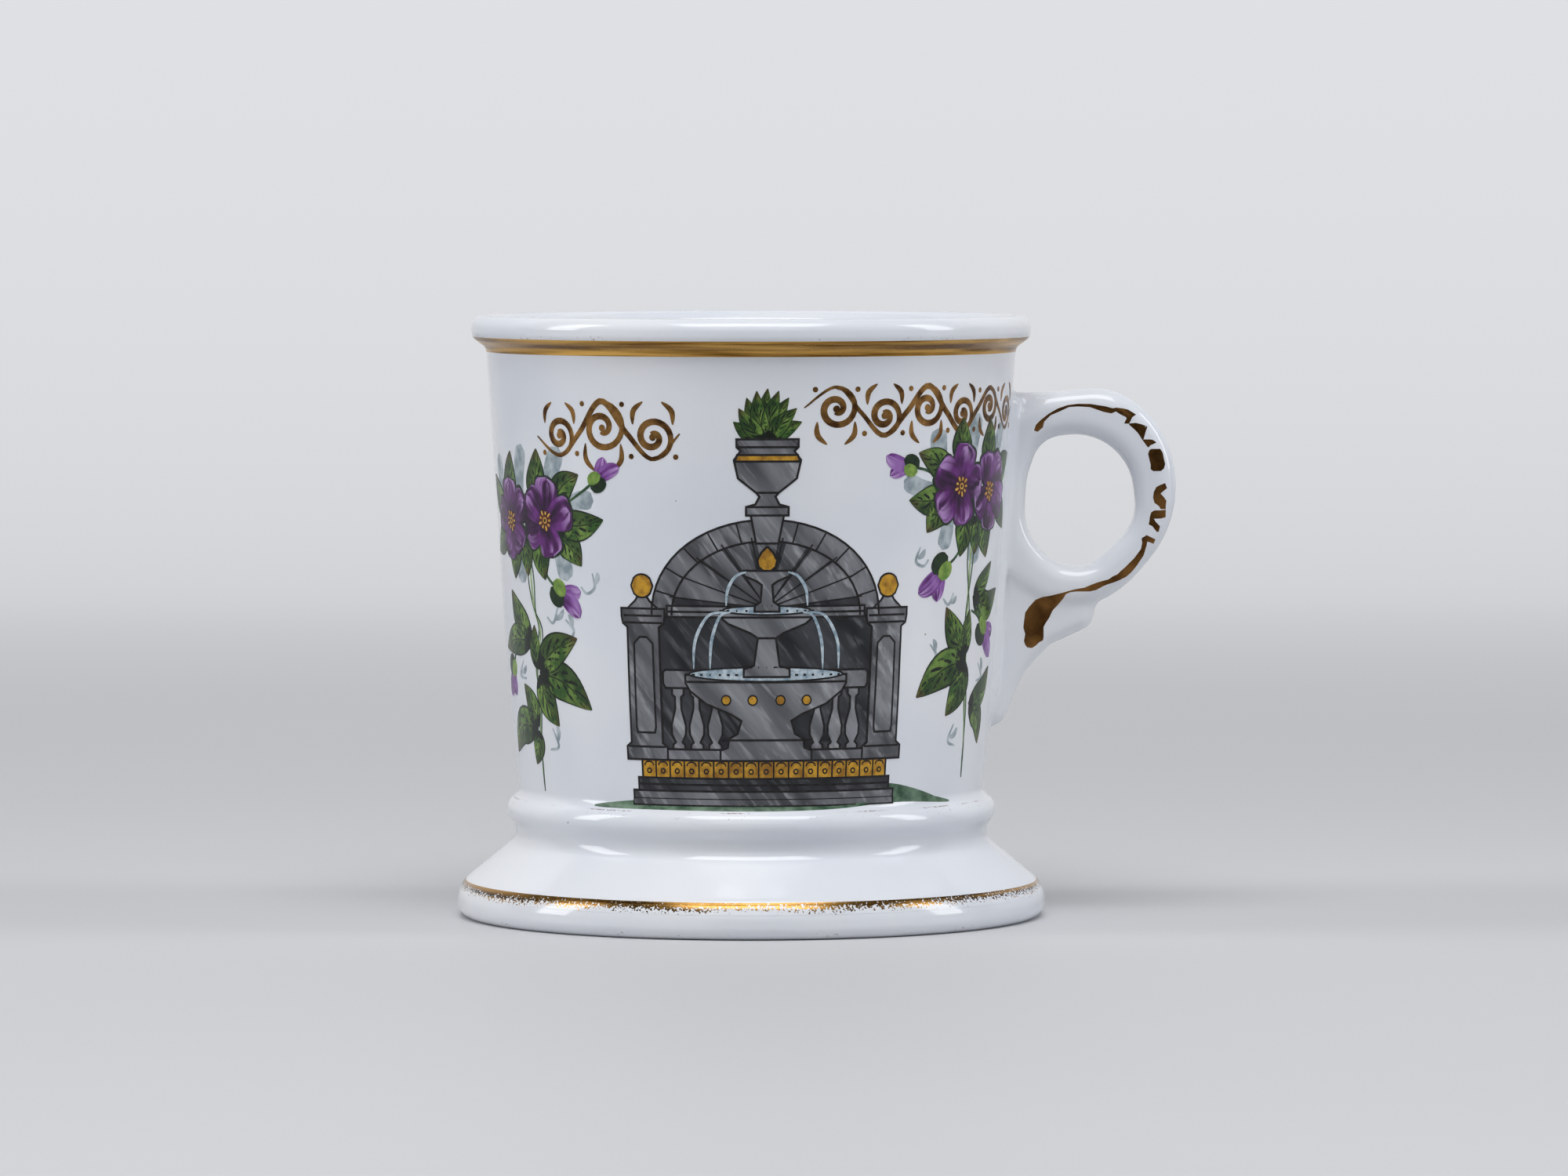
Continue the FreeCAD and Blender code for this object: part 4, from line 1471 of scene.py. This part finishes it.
    def urn(self) -> None:
        """The urn on the keystone, with a clipped bush in it."""
        for k in range(9):
            turn = 20 + 17.5 * k
            leaf = bow(self.on_arch(turn, 0.5, 0.0, 76.4), self.on_arch(turn, 5.4, 7.8, 76.6), 0.06)
            self.brush.stroke(Paint.LEAF, leaf, leaf_width(2.6), 3 + k % 2)
        self.turned(Paint.STONE, [
            (64.9, 3.2), (66.2, 3.2), (66.6, 1.8), (67.8, 1.2), (68.4, 1.7), (70.6, 4.4), (73.4, 5.0),
            (74.8, 4.0), (75.4, 4.6), (76.6, 4.6)], 5)
        self.turned(Paint.YELLOW, [(73.2, 4.9), (74.2, 4.5)], 7)
        for z, half in ((66.2, 3.0), (68.4, 1.6), (75.4, 4.4)):
            self.rule(half, z, 8)


# Gold


@dataclass
class GoldBands:
    """Gold laid on the turning wheel: a bright band under the rim and a worn line on the foot."""

    body: MugBody
    lift: float = 0.03
    slab: float = 0.07
    rim_band: Point = (89.2, 91.6)
    foot_line: Point = (3.9, 5.75)

    def build(self) -> list[bpy.types.Object]:
        """Make both rings of gold.

        Returns:
            The rim's band and the foot's line.
        """
        bright = FiredGold(GoldKind.BURNISHED, "#DDAE5E", "#6B4719", 0.20)
        worn = FiredGold(GoldKind.WORN_LINE, "#B58A48", "#412B12", 0.22, turns_per_drift=6.0)
        return [self.ring("rim_gold_band", self.rim_band, bright), self.ring("foot_gold_line", self.foot_line, worn)]

    def ring(self, name: str, span: Point, gold: FiredGold) -> bpy.types.Object:
        """A thin closed ring that follows the outer profile between two heights.

        Args:
            name: the piece's name.
            span: lowest and highest height.
            gold: its finish.

        Returns:
            The ring, with V running up across it.
        """
        inside = [(r, z) for r, z in self.body.outside if span[0] < z < span[1]]
        low, high = [(self.body.surface(z)[0], z) for z in span]
        points = fine_path([low, *inside, high], 0.4)
        sides = turned_sides(points)
        outer = [(p[0] - s.x * self.lift, p[1] - s.y * self.lift) for p, s in zip(points, sides)]
        inner = [(p[0] + s.x * self.slab, p[1] + s.y * self.slab) for p, s in zip(points, sides)]
        ring = spin_profile(name, outer + inner[::-1], closed_at_axis=False)
        layer = ring.data.uv_layers.active
        for face in ring.data.polygons:
            middle = math.atan2(face.center.x, -face.center.y)
            for index in face.loop_indices:
                co = ring.data.vertices[ring.data.loops[index].vertex_index].co
                # an angle next to the face's own, so that the face at the back doesn't wrap round
                angle = middle + (math.atan2(co.x, -co.y) - middle + math.pi) % TURN - math.pi
                layer.data[index].uv = (angle / TURN, (co.z / MM - span[0]) / (span[1] - span[0]))
        cover(ring, gold.material(), 50)
        return ring


@dataclass
class HandleGilding:
    """Free gold strokes on the front and the back of the handle.

    Each mark is a row of stations along it, with x and z on one edge and x and z on the other.
    """

    handle: bpy.types.Object
    marks: tuple = (
        (
            (44.6, 76.8, 45.2, 76.6), (44.9, 77.7, 46.0, 77.3), (45.7, 78.5, 46.2, 78.2), (47.0, 79.5, 47.2, 79.2),
            (48.4, 80.3, 48.6, 79.8), (49.9, 80.8, 50.1, 80.5), (51.5, 81.0, 51.5, 80.6), (53.4, 81.0, 53.4, 80.5),
            (54.6, 80.8, 54.5, 80.1), (55.9, 80.6, 55.7, 79.7), (57.0, 80.3, 56.8, 79.5), (57.6, 80.4, 57.5, 79.8),
            (58.5, 80.3, 58.3, 79.3), (59.4, 80.1, 59.1, 78.9), (60.7, 79.3, 59.2, 78.7), (60.1, 78.9, 58.8, 77.9),
            (59.6, 77.9, 58.7, 77.9),
        ), (
            (59.6, 77.9, 59.6, 77.7), (60.6, 78.0, 60.3, 77.1), (61.5, 77.8, 60.8, 76.6), (62.5, 77.4, 61.2, 76.1),
            (62.2, 76.6, 61.5, 75.6), (61.9, 75.5, 61.7, 75.3),
        ), (
            (61.8, 75.4, 61.7, 75.3), (62.4, 75.4, 62.2, 74.6), (62.9, 75.4, 62.6, 74.1), (63.4, 75.3, 63.0, 74.5),
            (63.9, 74.9, 63.5, 74.7),
        ), (
            (63.1, 73.9, 64.0, 73.9), (62.8, 73.7, 64.5, 73.9), (62.6, 73.1, 64.9, 73.3), (62.8, 72.2, 65.1, 72.3),
            (63.0, 71.4, 65.3, 71.5), (63.0, 70.7, 65.1, 70.8), (63.4, 70.4, 64.6, 70.4),
        ), (
            (65.3, 68.5, 65.6, 67.7), (64.5, 68.2, 65.1, 67.3), (63.9, 67.9, 64.6, 66.9), (63.5, 67.1, 64.6, 66.8),
            (63.4, 66.2, 65.1, 66.3), (63.6, 65.4, 65.5, 65.7), (64.3, 64.9, 65.4, 65.0), (64.6, 64.4, 65.4, 64.4),
        ), (
            (65.4, 64.3, 65.4, 63.1), (64.5, 64.2, 64.6, 62.9), (63.6, 64.2, 63.8, 62.9), (63.1, 63.9, 63.5, 62.9),
            (62.9, 63.2, 63.6, 62.8), (62.8, 62.4, 63.8, 62.4), (62.7, 62.0, 64.1, 62.1), (63.3, 61.7, 64.5, 61.7),
            (63.6, 61.3, 64.4, 61.2), (64.0, 60.8, 64.3, 60.8),
        ), (
            (63.8, 59.6, 63.5, 58.9), (63.0, 60.0, 62.8, 59.2), (62.4, 60.3, 62.3, 59.3), (61.6, 59.8, 62.5, 59.3),
            (61.7, 59.1, 62.4, 58.7), (61.5, 58.1, 62.2, 58.0), (61.0, 57.4, 61.9, 57.0), (60.4, 56.6, 61.3, 56.1),
            (59.7, 55.9, 60.7, 55.2), (58.9, 55.1, 59.9, 54.3), (58.3, 54.6, 59.2, 53.7), (57.8, 54.1, 58.2, 53.2),
            (57.1, 53.8, 57.2, 52.8), (56.4, 53.3, 56.2, 52.5), (55.6, 53.1, 55.5, 52.2), (54.6, 52.8, 54.4, 51.6),
            (53.8, 52.5, 53.4, 51.4), (52.6, 52.0, 52.4, 51.4), (51.4, 51.8, 51.4, 51.4), (50.2, 51.5, 50.4, 51.3),
            (49.2, 51.2, 49.7, 51.0), (48.4, 51.0, 49.3, 50.3), (47.2, 50.7, 48.6, 49.4), (46.0, 50.5, 47.6, 48.3),
            (44.9, 50.0, 47.1, 47.2), (43.9, 48.9, 46.5, 46.3), (43.3, 48.0, 46.2, 45.7), (43.1, 46.6, 46.2, 45.0),
            (43.0, 45.6, 46.2, 44.1), (43.3, 44.6, 46.1, 43.6), (43.1, 43.5, 45.5, 43.3), (43.3, 42.9, 45.0, 42.8),
            (43.6, 42.5, 44.4, 42.4),
        ),
    )

    def build(self) -> bpy.types.Object:
        """Lay the strokes on the handle's own surface, on both sides.

        Returns:
            The gilding of both sides as one piece.
        """
        surface = BVHTree.FromObject(self.handle, bpy.context.evaluated_depsgraph_get())
        gold = FiredGold(GoldKind.HANDLE, "#7C5830", "#4C3218", 0.20, 4.5).material()
        sides = []
        for side in (-1.0, 1.0):
            brush = Brush(self.placer(surface, side), slab=0.08, mirrored=side > 0)
            for rows in self.marks:
                brush.mark(GoldKind.HANDLE, rows, 0.45)
            sides.append(brush.finish(GoldKind.HANDLE, "handle_gold", gold))
        return join(sides, "handle_gold")

    def placer(self, surface: BVHTree, side: float) -> Placer:
        """A map from the drawing of the marks to the handle.

        Args:
            surface: the handle's surface.
            side: -1 for its front, 1 for its back.

        Returns:
            A function from (x, z) to the point there, in metres, and its normal.
        """
        def place(x: float, z: float) -> tuple[Vector, Vector]:
            hit, normal, _, _ = surface.ray_cast(Vector((x * MM, side * 0.02, z * MM)), Vector((0.0, -side, 0.0)))
            if hit is None:
                hit, normal, _, _ = surface.find_nearest(Vector((x * MM, side * 0.002, z * MM)))
            return hit, normal
        return place


# The studio


@dataclass
class Studio:
    """Pale floor, soft boxes and the camera.

    Each lamp is its name, its place and size in metres, and its power in watts.
    """

    camera_place: tuple = (0.0052, -1.282, 0.1169)
    tilt: float = 2.91
    lens: float = 186.2
    near: str = "#CDCED1"
    mottle: str = "#C8C9CC"
    far: str = "#E0E1E4"
    air: str = "#D8DCE2"
    lamps: tuple = (
        ("left_box", (-1.5, -0.16, 0.78), (0.45, 1.2), 9.0), ("right_box", (1.5, -0.16, 0.78), (0.42, 1.2), 8.0),
        ("top_box", (0.0, -0.48, 1.1), (0.9, 0.6), 8.6), ("front_fill", (0.0, -1.5, 0.95), (1.2, 0.8), 2.6))

    def build(self) -> None:
        """Set up the floor, the lights and the camera."""
        self.floor()
        self.lights()
        self.camera()

    def floor(self) -> None:
        """A broad smooth sweep that rises behind the mug."""
        deselect()
        bpy.ops.mesh.primitive_plane_add(size=1.0)
        sweep = bpy.context.object
        sweep.name = sweep.data.name = "studio_floor"
        for vertex in sweep.data.vertices:
            vertex.co = (vertex.co.x * 8, -3.0 if vertex.co.y < 0 else 1.4, 0.0)
        bpy.ops.object.mode_set(mode="EDIT")
        bpy.ops.mesh.select_all(action="DESELECT")
        bpy.ops.object.mode_set(mode="OBJECT")
        for edge in sweep.data.edges:
            edge.select = all(sweep.data.vertices[v].co.y > 0 for v in edge.vertices)
        bpy.ops.object.mode_set(mode="EDIT")
        bpy.ops.mesh.extrude_region_move(TRANSFORM_OT_translate={"value": (0, 0.5, 2.5)})
        bpy.ops.object.mode_set(mode="OBJECT")
        finish_modifier(sweep, "BEVEL", width=0.45, segments=16, limit_method="ANGLE")
        cover(sweep, self.card())

    def card(self) -> bpy.types.Material:
        """Matt pale card with a painted glow, so that it looks paler far behind the mug to the camera and in
        reflections without sending more light to it.

        Returns:
            The material.
        """
        material, add = new_material("pale_floor_card")
        place = add("TexCoord", out="Object")
        depth = add("MapRange", (add("SeparateXYZ", (place,), "Y"), 0.10, 1.45), interpolation_type="SMOOTHSTEP")
        cloud = add("MapRange", (add("TexNoise", {"Vector": place, "Scale": 2.5, "Detail": 2.0}), 0.3, 0.7))
        tone = add("Mix", {0: cloud, 6: self.near, 7: self.mottle}, 2, data_type="RGBA")
        card = add("BsdfPrincipled", {"Base Color": tone, "Roughness": 0.55})
        # painted glow: only camera, glossy and transmission rays see the emission, and more of it further back
        seen = add("LightPath", out="Is Camera Ray")
        rays = seen.node.outputs
        for ray in ("Is Glossy Ray", "Is Transmission Ray"):
            seen = add("Math", (seen, rays[ray]), operation="MAXIMUM")
        share = add("Math", (seen, depth), operation="MULTIPLY")
        glow = add("Emission", {"Color": self.far, "Strength": 1.0})
        add("OutputMaterial", (add("MixShader", (share, card, glow)),))
        return material

    def lights(self) -> None:
        """Two upright soft boxes at the sides, a broad one overhead, a weak front fill and grey air."""
        for name, place, size, power in self.lamps:
            data = bpy.data.lights.new(name, "AREA")
            data.shape = "RECTANGLE"
            data.size, data.size_y = size
            data.energy = power
            lamp = bpy.data.objects.new(name, data)
            bpy.context.scene.collection.objects.link(lamp)
            lamp.location = place
            lamp.rotation_euler = (Vector((0, 0, 0.055)) - Vector(place)).to_track_quat("-Z", "Y").to_euler()
        world = bpy.data.worlds.new("studio_air")
        bpy.context.scene.world = world
        world.use_nodes = True
        air = world.node_tree.nodes["Background"].inputs
        air["Color"].default_value = hex_colour(self.air)
        air["Strength"].default_value = 0.26

    def camera(self) -> None:
        """The camera, level with the rim and far off, as the photograph was taken."""
        data = bpy.data.cameras.new("camera")
        data.lens = self.lens
        data.sensor_width = 36.0
        data.clip_end = 20.0
        camera = bpy.data.objects.new("camera", data)
        bpy.context.scene.collection.objects.link(camera)
        camera.location = self.camera_place
        camera.rotation_euler = (math.radians(90 - self.tilt), 0.0, 0.0)
        bpy.context.scene.camera = camera


# The two sprays of flowers


LEFT_SPRAY = FlowerSpray(
    flowers=(
        ((-47.1, 63.1), ((-47.6, 69.8), (-41.6, 66.6), (-43.2, 58.9), (-49.4, 57.6), (-53.2, 64.6))),
        ((-36.1, 63.5), ((-35.2, 70.2), (-29.8, 65.1), (-34.4, 57.9), (-41.5, 60.9), (-41.1, 67.6))),
    ),
    tuft=(
        (-47.0, 65.0, -46.3, 74.0, 4.6, 0.05), (-39.5, 66.0, -37.7, 74.6, 4.4, -0.05),
        (-34.0, 66.0, -28.2, 70.8, 4.2, 0.10), (-33.0, 63.0, -23.7, 63.9, 4.4, -0.06),
        (-33.5, 61.5, -28.3, 56.6, 4.2, 0.08), (-46.5, 61.0, -47.0, 54.0, 4.2, 0.05),
        (-38.0, 61.0, -36.9, 54.2, 4.2, -0.05), (-43.0, 61.0, -42.0, 54.6, 3.6, 0.05),
        (-50.0, 64.0, -56.0, 70.0, 4.2, 0.06), (-50.0, 62.0, -56.5, 58.0, 4.0, 0.06),
    ),
    buds=(
        (((-30.5, 66.5), (-27.5, 68.2)), (-24.8, 70.0), (-20.6, 72.4)),
        (((-37.6, 57.0), (-36.2, 54.6)), (-33.6, 52.6), (-28.8, 48.9)),
        (((-46.4, 44.6), (-49.0, 42.6)), (-51.3, 39.9), (-54.2, 35.2)),
    ),
    stem=((-41.5, 57.6), (-40.9, 50.0), (-39.2, 46.0), (-40.8, 40.2), (-40.8, 34.8), (-41.7, 28.6), (-41.7, 20.9)),
    leaves=(
        (-42.0, 44.6, -49.3, 52.1, 4.6, 0.08), (-42.0, 44.4, -55.0, 42.8, 4.6, -0.06),
        (-40.4, 40.1, -30.0, 45.3, 5.0, 0.06), (-40.2, 39.6, -27.6, 34.3, 5.4, 0.10),
        (-40.4, 39.2, -35.6, 31.4, 4.6, -0.06), (-40.8, 40.0, -41.0, 47.0, 3.0, 0.05),
        (-42.0, 30.9, -46.2, 37.5, 3.8, -0.06), (-42.2, 30.6, -53.4, 26.4, 5.4, -0.20),
        (-41.8, 30.4, -43.8, 25.0, 3.4, 0.05),
    ),
    shadows=(
        (-43.0, 66.0, -42.1, 75.2, 4.2), (-35.0, 66.0, -32.2, 75.0, 4.4), (-49.0, 66.0, -52.4, 73.4, 4.0),
        (-34.6, 61.0, -31.6, 54.2, 4.4), (-44.0, 60.0, -44.6, 53.4, 3.8), (-31.0, 66.0, -25.4, 66.8, 3.6),
    ),
    swirls=(
        ((-26.2, 55.6), (-25.8, 53.4), (-27.4, 52.4), (-28.6, 53.4)), ((-34.0, 50.4), (-35.4, 47.6), (-37.0, 48.4)),
        ((-46.0, 41.2), (-47.6, 38.8), (-45.2, 38.4)), ((-37.6, 31.0), (-36.2, 28.2), (-38.6, 27.6)),
        ((-32.4, 48.2), (-30.6, 46.6), (-31.4, 45.2)),
    ),
)

RIGHT_SPRAY = FlowerSpray(
    flowers=(
        ((46.0, 67.8), ((45.0, 74.0), (51.0, 72.6), (52.6, 65.6), (46.6, 61.6), (41.4, 65.0))),
        ((37.1, 68.8), ((38.4, 75.4), (43.0, 69.6), (38.6, 62.8), (31.6, 64.9), (31.4, 72.0))),
    ),
    tuft=(
        (34.5, 70.0, 27.3, 74.2, 4.2, -0.08), (34.0, 67.5, 25.8, 66.9, 4.4, 0.06),
        (34.5, 66.5, 29.6, 61.8, 4.2, -0.08), (37.5, 72.0, 36.9, 79.4, 4.4, 0.05),
        (44.5, 71.0, 45.1, 79.2, 4.4, -0.05), (38.5, 65.0, 37.7, 57.8, 4.2, 0.06),
        (45.0, 64.5, 46.3, 57.4, 4.4, -0.06), (41.5, 64.0, 42.0, 58.0, 3.6, 0.05),
        (49.0, 69.0, 55.6, 73.4, 4.2, 0.06), (49.0, 66.5, 55.0, 61.6, 4.0, 0.06),
    ),
    buds=(
        (((31.4, 70.4), (28.6, 71.6)), (25.8, 72.0), (21.2, 73.6)),
        (((38.6, 60.0), (36.4, 57.6)), (33.6, 56.1), (28.6, 52.0)),
        (((42.2, 49.2), (44.6, 48.2)), (46.6, 46.2), (51.4, 41.8)),
    ),
    stem=((40.9, 61.4), (40.7, 54.0), (41.1, 45.2), (41.5, 40.0), (42.4, 31.0), (43.0, 23.0)),
    leaves=(
        (42.6, 51.7, 49.0, 56.6, 2.9, -0.06), (42.4, 51.4, 53.0, 52.2, 4.4, -0.20),
        (41.2, 42.0, 34.9, 50.0, 4.4, 0.06), (41.2, 41.6, 29.0, 36.2, 5.4, -0.10),
        (41.4, 41.2, 36.4, 33.0, 4.6, 0.06), (41.2, 42.4, 41.6, 49.4, 2.8, 0.05),
        (43.4, 34.5, 51.4, 40.0, 3.8, -0.14), (43.6, 34.2, 48.6, 28.0, 4.0, 0.20),
    ),
    shadows=(
        (40.0, 72.0, 41.2, 80.0, 4.2), (33.0, 71.0, 31.2, 78.0, 4.4), (48.0, 71.0, 50.6, 78.2, 4.0),
        (41.0, 64.0, 41.6, 56.4, 4.4), (34.0, 66.0, 33.2, 59.0, 3.8), (32.0, 68.6, 24.6, 70.0, 3.6),
    ),
    swirls=(
        ((28.4, 59.6), (27.6, 57.4), (29.2, 56.6), (30.2, 57.6)), ((36.6, 52.2), (35.4, 50.4), (34.0, 51.4)),
        ((46.0, 40.8), (47.8, 38.6), (45.6, 38.0)), ((39.0, 31.6), (37.6, 29.0), (39.8, 28.2)),
        ((31.4, 44.4), (33.0, 42.8), (32.0, 41.6)),
    ),
)


def dress(piece: bpy.types.Object) -> None:
    """Let a piece ride on the mug, and report it."""
    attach(piece, "root")
    LOG.info("%s: %d faces", piece.name, len(piece.data.polygons))


def main() -> None:
    """Build the mug, its gold and its painting, then the studio, and report each piece."""
    logging.basicConfig(level=logging.INFO, format="%(name)s %(message)s")
    bpy.context.scene.view_settings.view_transform = "Standard"
    china = GlazedPorcelain().material()
    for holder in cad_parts["mug"].material_slots:
        holder.material = china

    body = MugBody()
    cup = body.build(china)
    dress(cup)
    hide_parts("mug")
    handle = MugHandle(body).build(china)
    dress(handle)
    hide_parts("mug")

    for ring in GoldBands(body).build():
        dress(ring)
    dress(HandleGilding(handle).build())

    brush = Brush(body.place)
    GardenScene(brush).paint()
    LEFT_SPRAY.paint(brush)
    RIGHT_SPRAY.paint(brush)
    Scrollwork(brush).paint()
    for paint in Paint:
        dress(brush.finish(paint, f"painted_{paint.name.lower()}", paint.value.material()))

    Studio().build()


if __name__ == "__main__":
    main()
